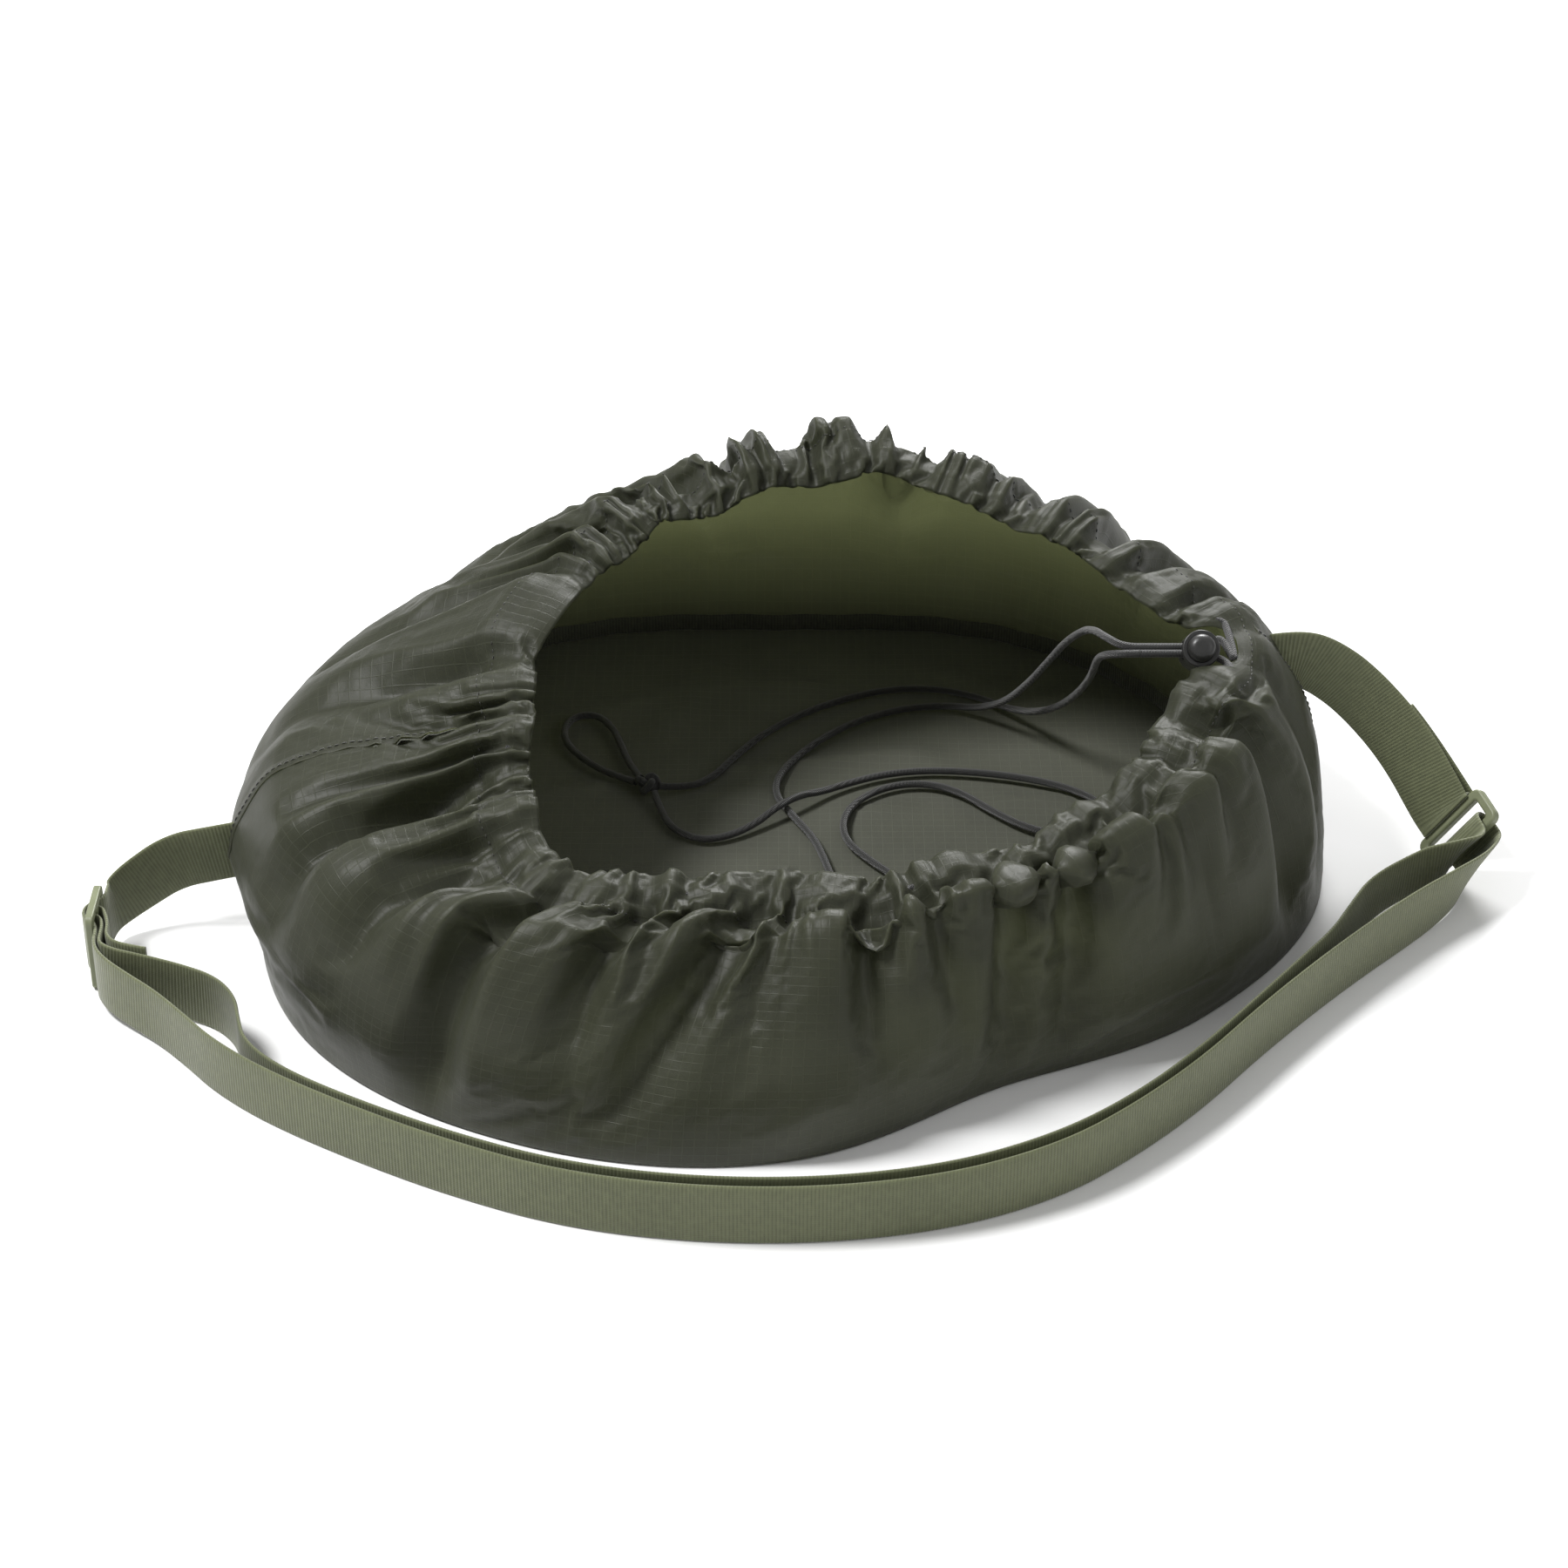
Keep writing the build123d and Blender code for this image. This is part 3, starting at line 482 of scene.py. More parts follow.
def webbing(name, stations, begin=0.0):
    """A strip of ribbed webbing along stations of six numbers: centre, then width direction."""
    path = corner_cut(stations)
    keep = np.concatenate([[True], np.linalg.norm(np.diff(path[:, :3], axis=0), axis=1) > 1e-6])
    path = path[keep]
    along = np.concatenate([[0], np.cumsum(np.linalg.norm(np.diff(path[:, :3], axis=0), axis=1))])
    count = int(along[-1] / (RIB / 2)) + 1
    at = np.linspace(0, along[-1], count)
    path = np.stack([np.interp(at, along, path[:, k]) for k in range(6)], axis=1)
    centre, wide = path[:, :3], path[:, 3:]
    way = np.gradient(centre, axis=0)
    way /= np.linalg.norm(way, axis=1)[:, None]
    wide = wide - way * (wide * way).sum(axis=1)[:, None]
    wide /= np.linalg.norm(wide, axis=1)[:, None]
    face = np.cross(way, wide)
    rib = np.where(np.arange(count) % 2 == 0, 1.0, 0.0)
    rings, across = [], []
    half = WEB_T / 2
    for sign in (1, -1):
        for x in WEB_SIDES[1:] if sign > 0 else [-w for w in WEB_SIDES[1:]]:
            edge = max(0.0, (abs(x) - 0.9) / 0.1)
            lift = (half - 0.09 - 0.3 * edge**2 + 0.13 * rib * (1 - 0.5 * edge)) * sign
            rings.append(centre + wide * (x * WEB_W / 2) + face * lift[:, None])
            across.append(x * WEB_W / 2)
        tip = 1.0 if sign > 0 else -1.0
        rings.append(centre + wide * (tip * WEB_W / 2 * 1.0) + face * 0.0)
        across.append(tip * WEB_W / 2)
    rings = np.stack(rings, axis=1)
    across = np.array(across + [across[0]])
    return solid_from_rings(name, rings, (across + 100, at + begin)), at[-1] + begin


def capsules(name, places, length, radius):
    """Short rounded stitches of thread: places are rows of middle, way along and face normal."""
    sides, verts, faces = 6, [], []
    turn = np.arange(sides) / sides * 2 * np.pi
    for middle, way, face in places:
        way = way / np.linalg.norm(way)
        side = np.cross(way, face)
        side /= np.linalg.norm(side)
        up = np.cross(side, way)
        first = len(verts)
        for at, size in ((-0.5, 0.35), (-0.36, 0.9), (0.0, 1.15), (0.36, 0.9), (0.5, 0.35)):
            sink = -radius * 1.2 * (2 * abs(at)) ** 3
            ring = middle + way * at * length + up * sink
            for a in turn:
                verts.append(ring + radius * size * (math.cos(a) * side + math.sin(a) * up))
        for r in range(4):
            for j in range(sides):
                k = (j + 1) % sides
                a, b = first + r * sides, first + (r + 1) * sides
                faces.append((a + j, a + k, b + k, b + j))
        faces.append(tuple(first + j for j in range(sides))[::-1])
        faces.append(tuple(first + 4 * sides + j for j in range(sides)))
    mesh = bpy.data.meshes.new(name)
    mesh.from_pydata([tuple(v * MM) for v in verts], [], faces)
    for poly in mesh.polygons:
        poly.use_smooth = len(poly.vertices) == 4
    return link(bpy.data.objects.new(name, mesh))


def cord_curve(name, points, diameter):
    """A cord as a smooth NURBS line through its route in millimetres."""
    curve = bpy.data.curves.new(name, "CURVE")
    curve.dimensions = "3D"
    spline = curve.splines.new("NURBS")
    spline.points.add(len(points) - 1)
    for place, point in zip(spline.points, points):
        place.co = (point[0] * MM, point[1] * MM, point[2] * MM, 1)
        place.radius = diameter / 2 * MM
    spline.order_u = 3
    spline.use_endpoint_u = True
    spline.resolution_u = 12
    curve.bevel_depth = 1.0
    curve.bevel_resolution = 4
    curve.use_fill_caps = True
    return link(bpy.data.objects.new(name, curve))


# ==MATERIALS==
class Nodes:
    """A short way to build a material's nodes."""

    def __init__(self, name):
        self.material = bpy.data.materials.new(name)
        self.material.use_nodes = True
        self.tree = self.material.node_tree
        self.shader = self.tree.nodes["Principled BSDF"]
        self.output = self.tree.nodes["Material Output"]

    def add(self, kind, inputs=None, **settings):
        node = self.tree.nodes.new(kind)
        for name, value in settings.items():
            setattr(node, name, value)
        for name, value in (inputs or {}).items():
            self.feed(node.inputs[name], value)
        return node

    def feed(self, socket, value):
        if isinstance(value, bpy.types.NodeSocket):
            self.tree.links.new(value, socket)
        else:
            socket.default_value = value

    def math(self, operation, a, b=None, c=None):
        node = self.add("ShaderNodeMath", operation=operation)
        for k, value in enumerate((a, b, c)):
            if value is not None:
                self.feed(node.inputs[k], value)
        return node.outputs[0]

    def noise(self, vector, scale, detail=3.0, rough=0.55):
        values = {"Vector": vector, "Scale": scale, "Detail": detail, "Roughness": rough}
        return self.add("ShaderNodeTexNoise", values).outputs["Fac"]

    def mix(self, share, a, b):
        node = self.add("ShaderNodeMix", data_type="RGBA")
        for socket, value in ((node.inputs[0], share), (node.inputs[6], a), (node.inputs[7], b)):
            self.feed(socket, value)
        return node.outputs[2]

    def ramp(self, value, low, high, to_low=0.0, to_high=1.0):
        values = {"Value": value, "From Min": low, "From Max": high, "To Min": to_low, "To Max": to_high}
        return self.add("ShaderNodeMapRange", values).outputs[0]

    def bump(self, height, distance, strength=1.0, normal=None):
        node = self.add("ShaderNodeBump", {"Height": height, "Distance": distance, "Strength": strength})
        if normal is not None:
            self.feed(node.inputs["Normal"], normal)
        return node.outputs[0]

    def set(self, **values):
        for name, value in values.items():
            self.feed(self.shader.inputs[name.replace("_", " ")], value)
        return self


def tint(colour, red=1.0, green=None, blue=None):
    """A colour with full alpha, made lighter or darker by one factor or by one for each channel."""
    factors = (red, green or red, blue or red)
    return (*(channel * factor for channel, factor in zip(colour, factors)), 1)


RIPSTOP_PITCH, WEAVE_PITCH = 0.0042, 0.00045  # metres between threads
# Less light is let through near the ground: painted shade on the lower wall, standing in for back light
# reaching only its upper part.
GLOW_TOP, GLOW_LOW, TRANSLUCENT = 0.06, 0.12, 0.5  # light let through, from the ground up to GLOW_TOP


def cloth_material(name, light, dark, back, lines):
    """Thin coated ripstop: a square grid of heavier threads over a fine plain weave."""
    m = Nodes(name)
    uv = m.add("ShaderNodeUVMap", uv_map="cloth").outputs[0]
    place = m.add("ShaderNodeTexCoord").outputs["Object"]
    xyz = m.add("ShaderNodeSeparateXYZ", {"Vector": uv})
    pitch = 1 / RIPSTOP_PITCH
    grid = None
    for axis in ("X", "Y"):
        cell = m.math("FRACT", m.math("MULTIPLY", xyz.outputs[axis], pitch))
        line = m.ramp(m.math("ABSOLUTE", m.math("SUBTRACT", cell, 0.5)), 0.06, 0.0)
        grid = line if grid is None else m.math("MAXIMUM", grid, line)
    weave = m.math(
        "MULTIPLY",
        m.math("SINE", m.math("MULTIPLY", xyz.outputs["X"], 2 * math.pi / WEAVE_PITCH)),
        m.math("SINE", m.math("MULTIPLY", xyz.outputs["Y"], 2 * math.pi / WEAVE_PITCH)),
    )
    cloud = m.noise(place, 9.0, 4.0)
    crease = m.noise(place, 55.0, 5.0, 0.6)
    fine = m.noise(place, 260.0, 4.0, 0.6)
    colour = m.mix(m.ramp(cloud, 0.35, 0.65), tint(dark), tint(light))
    colour = m.mix(m.math("MULTIPLY", grid, lines), colour, tint(light, 1.5, 1.55, 1.5))
    # Lighter where the small creases stand highest: a painted highlight on their crests.
    colour = m.mix(m.ramp(crease, 0.62, 0.8, 0, 0.35), colour, tint(light, 1.3))
    height = m.math("ADD", m.math("MULTIPLY", crease, 0.55), m.math("MULTIPLY", fine, 0.2))
    normal = m.bump(height, 0.0011, 0.55)
    normal = m.bump(m.math("ADD", grid, m.math("MULTIPLY", weave, 0.25)), 0.00006, 0.8, normal)
    rough = m.ramp(m.noise(place, 30.0, 3.0), 0.3, 0.7, 0.36, 0.47)
    m.set(Base_Color=colour, Roughness=rough, Normal=normal)
    m.set(Sheen_Weight=0.08, Sheen_Roughness=0.4, Specular_IOR_Level=0.4)
    glow = m.add("ShaderNodeBsdfTranslucent", {"Color": (*back, 1), "Normal": normal})
    high = m.add("ShaderNodeSeparateXYZ", {"Vector": place}).outputs["Z"]
    # Translucency ramped down towards the ground: painted shade on the lower wall.
    both = m.add("ShaderNodeMixShader", {0: m.ramp(high, 0.0, GLOW_TOP, GLOW_LOW, TRANSLUCENT)})
    m.tree.links.new(m.shader.outputs[0], both.inputs[1])
    m.tree.links.new(glow.outputs[0], both.inputs[2])
    m.tree.links.new(both.outputs[0], m.output.inputs["Surface"])
    return m.material


def webbing_material(name, light, dark):
    """Ribbed nylon webbing, with ribs across it and fine threads along it."""
    m = Nodes(name)
    uv = m.add("ShaderNodeUVMap", uv_map="cloth").outputs[0]
    place = m.add("ShaderNodeTexCoord").outputs["Object"]
    xyz = m.add("ShaderNodeSeparateXYZ", {"Vector": uv})
    rib = m.math("SINE", m.math("MULTIPLY", xyz.outputs["Y"], 2 * math.pi / (RIB * MM)))
    thread = m.math("SINE", m.math("MULTIPLY", xyz.outputs["X"], 2 * math.pi / 0.0007))
    slub = m.noise(place, 380.0, 3.0)
    cloud = m.noise(place, 14.0, 4.0)
    across = m.math("ABSOLUTE", m.math("SUBTRACT", xyz.outputs["X"], 0.1))
    edge = m.ramp(across, 0.0108, 0.0122)
    colour = m.mix(m.ramp(cloud, 0.3, 0.7), tint(dark), tint(light))
    # Darker where the rib sine is low: painted shade in the grooves between the ribs.
    colour = m.mix(m.ramp(rib, -1.0, 0.2, 0.55, 0.0), colour, tint(dark, 0.45, 0.45, 0.4))
    colour = m.mix(m.ramp(slub, 0.4, 0.7, 0.0, 0.3), colour, tint(light, 1.25, 1.25, 1.2))
    colour = m.mix(m.math("MULTIPLY", edge, 0.35), colour, tint(light, 1.15, 1.15, 1.1))
    height = m.math("ADD", m.math("MULTIPLY", rib, 0.5), m.math("MULTIPLY", thread, 0.16))
    height = m.math("ADD", height, m.math("MULTIPLY", slub, 0.4))
    m.set(Base_Color=colour, Roughness=0.62, Normal=m.bump(height, 0.00018, 0.7))
    m.set(Sheen_Weight=0.25, Sheen_Roughness=0.5, Specular_IOR_Level=0.35)
    return m.material


def cord_material(name, tone):
    """Braided cord: strands crossing round and along it, in the object's own space."""
    m = Nodes(name)
    place = m.add("ShaderNodeTexCoord").outputs["Object"]
    xyz = m.add("ShaderNodeSeparateXYZ", {"Vector": place})
    total = m.math("ADD", xyz.outputs["X"], xyz.outputs["Y"])
    total = m.math("ADD", total, xyz.outputs["Z"])
    cross = m.math("SUBTRACT", xyz.outputs["X"], xyz.outputs["Y"])
    cross = m.math("ADD", cross, xyz.outputs["Z"])
    first = m.math("SINE", m.math("MULTIPLY", total, 2 * math.pi / 0.0011))
    second = m.math("SINE", m.math("MULTIPLY", cross, 2 * math.pi / 0.0011))
    braid = m.math("MAXIMUM", first, second)
    fibre = m.noise(place, 900.0, 3.0)
    # Darker where the braid is low: painted shade in the grooves between the strands.
    colour = m.mix(m.ramp(braid, -0.2, 0.9), tint(tone, 0.45), tint(tone))
    colour = m.mix(m.ramp(fibre, 0.5, 0.75, 0, 0.4), colour, tint(tone, 2))
    height = m.math("ADD", braid, m.math("MULTIPLY", fibre, 0.5))
    m.set(Base_Color=colour, Roughness=0.6, Normal=m.bump(height, 0.0003, 0.7))
    m.set(Sheen_Weight=0.3, Sheen_Roughness=0.5)
    return m.material


def plastic_material(name, tone, roughness):
    """Moulded plastic with a fine spark-eroded grain and faint handling marks."""
    m = Nodes(name)
    place = m.add("ShaderNodeTexCoord").outputs["Object"]
    grain = m.noise(place, 1800.0, 2.0)
    cloud = m.noise(place, 60.0, 4.0)
    scuff = m.noise(place, 300.0, 6.0, 0.7)
    colour = m.mix(m.ramp(cloud, 0.35, 0.65), tint(tone), tint(tone, 1.2))
    colour = m.mix(m.ramp(scuff, 0.62, 0.75, 0, 0.3), colour, tint(tone, 1.8))
    rough = m.ramp(scuff, 0.35, 0.7, roughness - 0.07, roughness + 0.12)
    m.set(Base_Color=colour, Roughness=rough, Normal=m.bump(grain, 0.00008, 0.5))
    m.set(Specular_IOR_Level=0.5)
    return m.material


def thread_material(name, tone):
    """Twisted sewing thread."""
    m = Nodes(name)
    place = m.add("ShaderNodeTexCoord").outputs["Object"]
    twist = m.noise(place, 2200.0, 2.0)
    colour = m.mix(m.ramp(twist, 0.35, 0.65), tint(tone, 0.6), tint(tone))
    m.set(Base_Color=colour, Roughness=0.55, Normal=m.bump(twist, 0.00012, 0.6), Sheen_Weight=0.2)
    return m.material


def steel_material(name):
    m = Nodes(name)
    place = m.add("ShaderNodeTexCoord").outputs["Object"]
    drawn = m.noise(place, 1500.0, 3.0)
    colour = m.mix(m.ramp(drawn, 0.3, 0.7), (0.42, 0.42, 0.43, 1), (0.6, 0.6, 0.61, 1))
    rough = m.ramp(drawn, 0.3, 0.7, 0.25, 0.4)
    m.set(Base_Color=colour, Metallic=1.0, Roughness=rough, Normal=m.bump(drawn, 0.00003, 0.4))
    return m.material


SHELL = cloth_material("shell_cloth", (0.062, 0.065, 0.045), (0.048, 0.051, 0.034), (0.40, 0.42, 0.28), 0.5)
# The base cloth is coloured about twice as light as the wall's cloth: painted light on the floor inside the
# bag.
FLOOR_LIGHT, FLOOR_DARK, FLOOR_GLOW = (0.120, 0.123, 0.100), (0.095, 0.098, 0.080), (0.10, 0.11, 0.06)
FLOOR_CLOTH = cloth_material("base_cloth", FLOOR_LIGHT, FLOOR_DARK, FLOOR_GLOW, 0.3)
WEBBING = webbing_material("webbing", (0.135, 0.148, 0.078), (0.106, 0.118, 0.060))
TAPE = webbing_material("seam_tape", (0.055, 0.059, 0.040), (0.040, 0.043, 0.030))
CORD = cord_material("cord", (0.012, 0.012, 0.011))
OLIVE_PLASTIC = plastic_material("strap_hardware", (0.150, 0.165, 0.095), 0.42)
BLACK_PLASTIC = plastic_material("lock_plastic", (0.020, 0.020, 0.019), 0.34)
THREAD = thread_material("thread", (0.028, 0.030, 0.020))
BAR_THREAD = thread_material("bar_thread", (0.105, 0.115, 0.064))
STEEL = steel_material("spring_steel")


def finish_piece(obj, body, material, nodes=()):
    """Puts a piece on its body, gives it its material and slot, and hides the CAD nodes it stands for."""
    if isinstance(body, str):
        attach(obj, body)
    if material is not None:
        obj.data.materials.clear()
        obj.data.materials.append(material)
    if nodes:
        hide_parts(*nodes)
    return obj


# ------------------------------------------------------------------ camera, lights and floor
def make_stage():
    scene = bpy.context.scene
    scene.view_settings.view_transform = "Standard"
    data = bpy.data.cameras.new("camera")
    data.lens, data.sensor_width = 85, 36
    camera = link(bpy.data.objects.new("camera", data))
    camera.location = (0, -1.21607, 0.83473)
    camera.rotation_mode = "QUATERNION"
    camera.rotation_quaternion = (Vector((0, 0, 0.045)) - camera.location).to_track_quat("-Z", "Y")
    scene.camera = camera
    world = bpy.data.worlds.new("studio")
    world.use_nodes = True
    world.node_tree.nodes["Background"].inputs[0].default_value = (1, 1, 1, 1)
    world.node_tree.nodes["Background"].inputs[1].default_value = 0.45
    scene.world = world
    for name, place, size, power in LIGHTS:
        lamp = bpy.data.lights.new(name, "AREA")
        lamp.energy, lamp.shape, lamp.size = power, "DISK", size
        obj = link(bpy.data.objects.new(name, lamp))
        obj.location = place
        obj.rotation_mode = "QUATERNION"
        obj.rotation_quaternion = (Vector((0, 0, 0.05)) - obj.location).to_track_quat("-Z", "Y")
    half = 6000.0
    corners = [[(x, y, 0) for x in (-half, half)] for y in (-half, half)]
    floor = grid_mesh("studio_floor", np.array(corners), False)
    m = Nodes("studio_floor")
    place = m.add("ShaderNodeTexCoord").outputs["Object"]
    m.set(Base_Color=m.mix(m.noise(place, 3.0), (0.86, 0.86, 0.86, 1), (0.9, 0.9, 0.9, 1)), Roughness=0.8)
    floor.data.materials.append(m.material)


LIGHTS = [
    ("key", (-1.0, -0.1, 1.7), 0.5, 40),
    ("back", (0.3, 1.5, 1.1), 0.9, 36),
    ("fill", (1.5, -0.9, 1.0), 1.2, 4),
]
make_stage()

# ------------------------------------------------------------------ free cord tails
CORD_D = 3.0
TAIL_A = [
    (136, 1.69, 106.45), (130, 1.69, 106.45), (123.5, 8, 107.2), (120, 18, 104.5), (117, 32, 96),
    (112, 50, 80), (107, 68, 60), (101, 86, 39), (93, 102, 20), (83, 115, 8.5), (68, 123, 5),
    (48, 120, 5), (27, 108, 5), (10, 90, 5), (-2, 70, 5), (-4, 54, 5), (3, 39, 5), (12, 22, 5),
    (17, 3, 5), (21, -18, 5), (33, -33, 5), (47, -26, 5), (46, -8, 5), (33, 7, 5), (24, 21, 5),
    (24, 38, 5), (32, 52, 5), (45, 61, 5), (60, 62, 5), (73, 55, 5), (84, 42, 5), (98, 29, 5),
    (115, 22, 5), (130, 31, 5), (130, 48, 5), (115, 60, 5), (97, 67, 5), (77, 71, 5), (58, 72, 5),
    (41, 69, 5), (26, 62, 5), (15, 54, 6), (7, 47.5, 9), (-3, 38.5, 9), (-11, 31, 6), (-22, 23, 5),
    (-34, 20, 5), (-45, 28, 5), (-50, 41, 5), (-53, 52, 7),
]
TAIL_B = [
    (136, -1.69, 105.55), (130, -1.69, 105.55), (123, 3.5, 102), (121.5, 13, 94.5), (122, 27, 83),
    (122, 45, 66), (119, 64, 47), (113, 83, 29), (105, 101, 15), (95, 117, 7), (81, 131, 5),
    (63, 137, 5), (44, 136, 5), (25, 128, 5), (7, 116, 5), (-9, 100, 5), (-21, 82, 5), (-29, 67, 5),
    (-39, 58, 5.5), (-51, 57, 7),
]
END_LOOP = [
    (-59, 63, 7), (-64, 76, 5), (-68, 91, 5), (-72, 105, 5), (-78.5, 115, 5), (-88, 115, 5),
    (-93, 105, 5), (-91, 92, 5), (-83, 80, 5), (-72, 69, 5), (-61, 60, 7),
]
KNOT_AT = np.array((-56.0, 58.0, 8.0))


def make_knot():
    """An overhand knot of both tails: a trefoil of cord pulled tight, with a second turn on it."""
    turn = np.linspace(0, 2 * np.pi, 120, endpoint=False)
    lines = []
    for size, lag in ((1.0, 0.0), (0.82, 0.5)):
        x = (np.sin(turn + lag) + 2 * np.sin(2 * (turn + lag))) * 1.25
        y = (np.cos(turn + lag) - 2 * np.cos(2 * (turn + lag))) * 1.25
        z = -np.sin(3 * (turn + lag)) * 2.1
        lines.append(np.column_stack([x * size * 1.15, y * size, z * size]) + KNOT_AT - (0, 0, 0.4))
    verts, faces = [], []
    for line in lines:
        rings = ring_tube(line, CORD_D / 2, 10, closed=True)
        count, sides, _ = rings.shape
        first = len(verts)
        verts += rings.reshape(-1, 3).tolist()
        for i in range(count):
            for j in range(sides):
                a, b, k = i * sides, ((i + 1) % count) * sides, (j + 1) % sides
                faces.append((first + a + j, first + a + k, first + b + k, first + b + j))
    mesh = bpy.data.meshes.new("knot")
    mesh.from_pydata([(x * MM, y * MM, z * MM) for x, y, z in verts], [], faces)
    for poly in mesh.polygons:
        poly.use_smooth = True
    return link(bpy.data.objects.new("knot", mesh))


knot = finish_piece(make_knot(), "bag", CORD, ["end_knot"])
tail_a = finish_piece(cord_curve("cord_tail_a", TAIL_A, CORD_D), "bag", CORD, ["drawcord_tail_a"])
tail_b = finish_piece(cord_curve("cord_tail_b", TAIL_B, CORD_D), "bag", CORD, ["drawcord_tail_b"])
loop = finish_piece(cord_curve("cord_end_loop", END_LOOP, CORD_D), "bag", CORD, ["drawcord_end_loop"])

# ------------------------------------------------------------------ bag cloth
EXTRA_GIRTH, FULL_ABOVE = 150.0, 70.0  # extra cloth round the bag, all of it from this height up
SLACK = 1.07


def make_bag():
    start, length, away, gather, notch = build_wall()
    high = np.linspace(0, 1, WALL_ROWS + 1)[:, None] * length[None, :] * SLACK
    above = [HEM_BELOW * k / HEM_ROWS for k in range(1, HEM_ROWS + 1)]
    above += [HEM_BELOW + HEM_ABOVE * k / RIM_ROWS for k in range(1, RIM_ROWS + 1)]
    high = np.concatenate([high, high[-1] + np.array(above)[:, None]])
    turn = TURN * 2 * np.pi
    radius = (GIRTH + EXTRA_GIRTH * np.clip(high / FULL_ABOVE, 0, 1)) / (2 * np.pi)
    flat = np.stack([radius * np.cos(turn) + 0 * high, radius * np.sin(turn) + 0 * high, high], axis=2)
    outer = start
    held = np.zeros(start.shape[:2])
    held[0], held[1], held[WALL_ROWS + HEM_ROWS] = 1, 0.5, 1
    held[WALL_ROWS:, notch > 0.3] = 1
    settling = grid_mesh("settling", start, True)
    outer = simulate(settling, flat, held).reshape(start.shape)
    bpy.data.objects.remove(settling)
    outer, notch = sharpen(outer, away, gather, notch)
    grid = np.concatenate([outer, casing_inside(outer, notch)])
    rise = np.linalg.norm(np.diff(grid, axis=0), axis=2).mean(axis=1)
    height = np.concatenate([[0], np.cumsum(rise)]) * MM
    bag = grid_mesh("bag_cloth", grid, True, (GIRTH / (2 * COLUMNS) * MM, height))
    thick = bag.modifiers.new("cloth thickness", "SOLIDIFY")
    thick.thickness = 0.35 * MM
    thick.offset = -1
    finish_piece(bag, "bag", SHELL, ["front_wall", "back_wall", "hem_front", "hem_back"])
    outside = 2 * (WALL_ROWS + HEM_ROWS)
    middle = (grid[outside] + grid[outside + 4 * RIM_ROWS]) / 2
    middle = (np.roll(middle, 1, axis=0) + middle + np.roll(middle, -1, axis=0)) / 3
    return bag, grid[::2, ::2], middle[::2], float(high[-1].mean()) + HEM_BELOW + HEM_ABOVE


bag, grid, cord_line, cut_height = make_bag()


def make_base():
    """The base cloth, lying on the ground with soft creases, its edge brought to an even low height."""
    rings, spokes = 46, 200
    edge = base_ring(spokes, 1.2)
    share = np.linspace(0, 1, rings)[:, None, None] ** 0.85
    xy = edge[None, :, :] * share
    x, y = xy[..., 0], xy[..., 1]
    z = np.full(x.shape, 1.0)
    for (x0, y0), (x1, y1), tall, wide in CREASES:
        way = np.array((x1 - x0, y1 - y0), float)
        size = np.linalg.norm(way)
        way /= size
        s = (x - x0) * way[0] + (y - y0) * way[1]
        d = -(x - x0) * way[1] + (y - y0) * way[0] + 2.5 * np.sin(s / 17.0)
        ends = np.clip(s / 14, 0, 1) * np.clip((size - s) / 14, 0, 1)
        z += 1.7 * tall * ends * np.exp(-np.abs(d) / wide)
    for sx, sy, lag in ((31, 47, 0.3), (53, 29, 1.7), (17, 61, 2.9)):
        z += 0.28 * np.sin(x / sx + lag + 0.8 * np.sin(y / sy)) + 0.16 * np.sin(y / (sx * 0.7) + lag)
    near = np.linspace(0, 1, rings)[:, None] ** 0.85
    z = np.clip(z, 0.5, 3.6) * (1 - near**8) + 1.3 * near**8
    across = (GIRTH / spokes * MM, np.linspace(0, 0.2, rings))
    base = grid_mesh("bag_base", np.stack([x, y, z], axis=2), True, across)
    layer = base.data.uv_layers["cloth"]
    spots = np.zeros(len(base.data.vertices) * 3, np.float32)
    base.data.vertices.foreach_get("co", spots)
    corner = np.zeros(len(base.data.loops), np.int32)
    base.data.loops.foreach_get("vertex_index", corner)
    layer.data.foreach_set("uv", spots.reshape(-1, 3)[corner, :2].ravel())
    thick = base.modifiers.new("cloth thickness", "SOLIDIFY")
    thick.thickness = 0.35 * MM
    thick.offset = -1
    return finish_piece(base, "bag", FLOOR_CLOTH, ["base_panel"])


# Creases of the base cloth: start, end, height, width.
CREASES = [
    ((-130, 60), (-60, 66), 1.6, 4), ((-45, 57), (0, 61), 1.6, 4), ((-35, 77), (70, 89), 1.9, 5),
    ((-45, 47), (0, 56), 1.4, 4), ((15, 44), (55, 53), 1.5, 4), ((80, 54), (125, 59), 1.7, 4),
    ((70, 142), (160, 131), 1.9, 6), ((-110, 120), (20, 150), 1.5, 7), ((-90, -30), (30, -70), 1.4, 6),
    ((20, -110), (120, -20), 1.5, 7), ((-150, -60), (-60, 10), 1.5, 6), ((60, 165), (120, 120), 1.6, 5),
    ((-60, 100), (-20, 170), 1.3, 6), ((110, 0), (170, 60), 1.5, 5),
]
base = make_base()


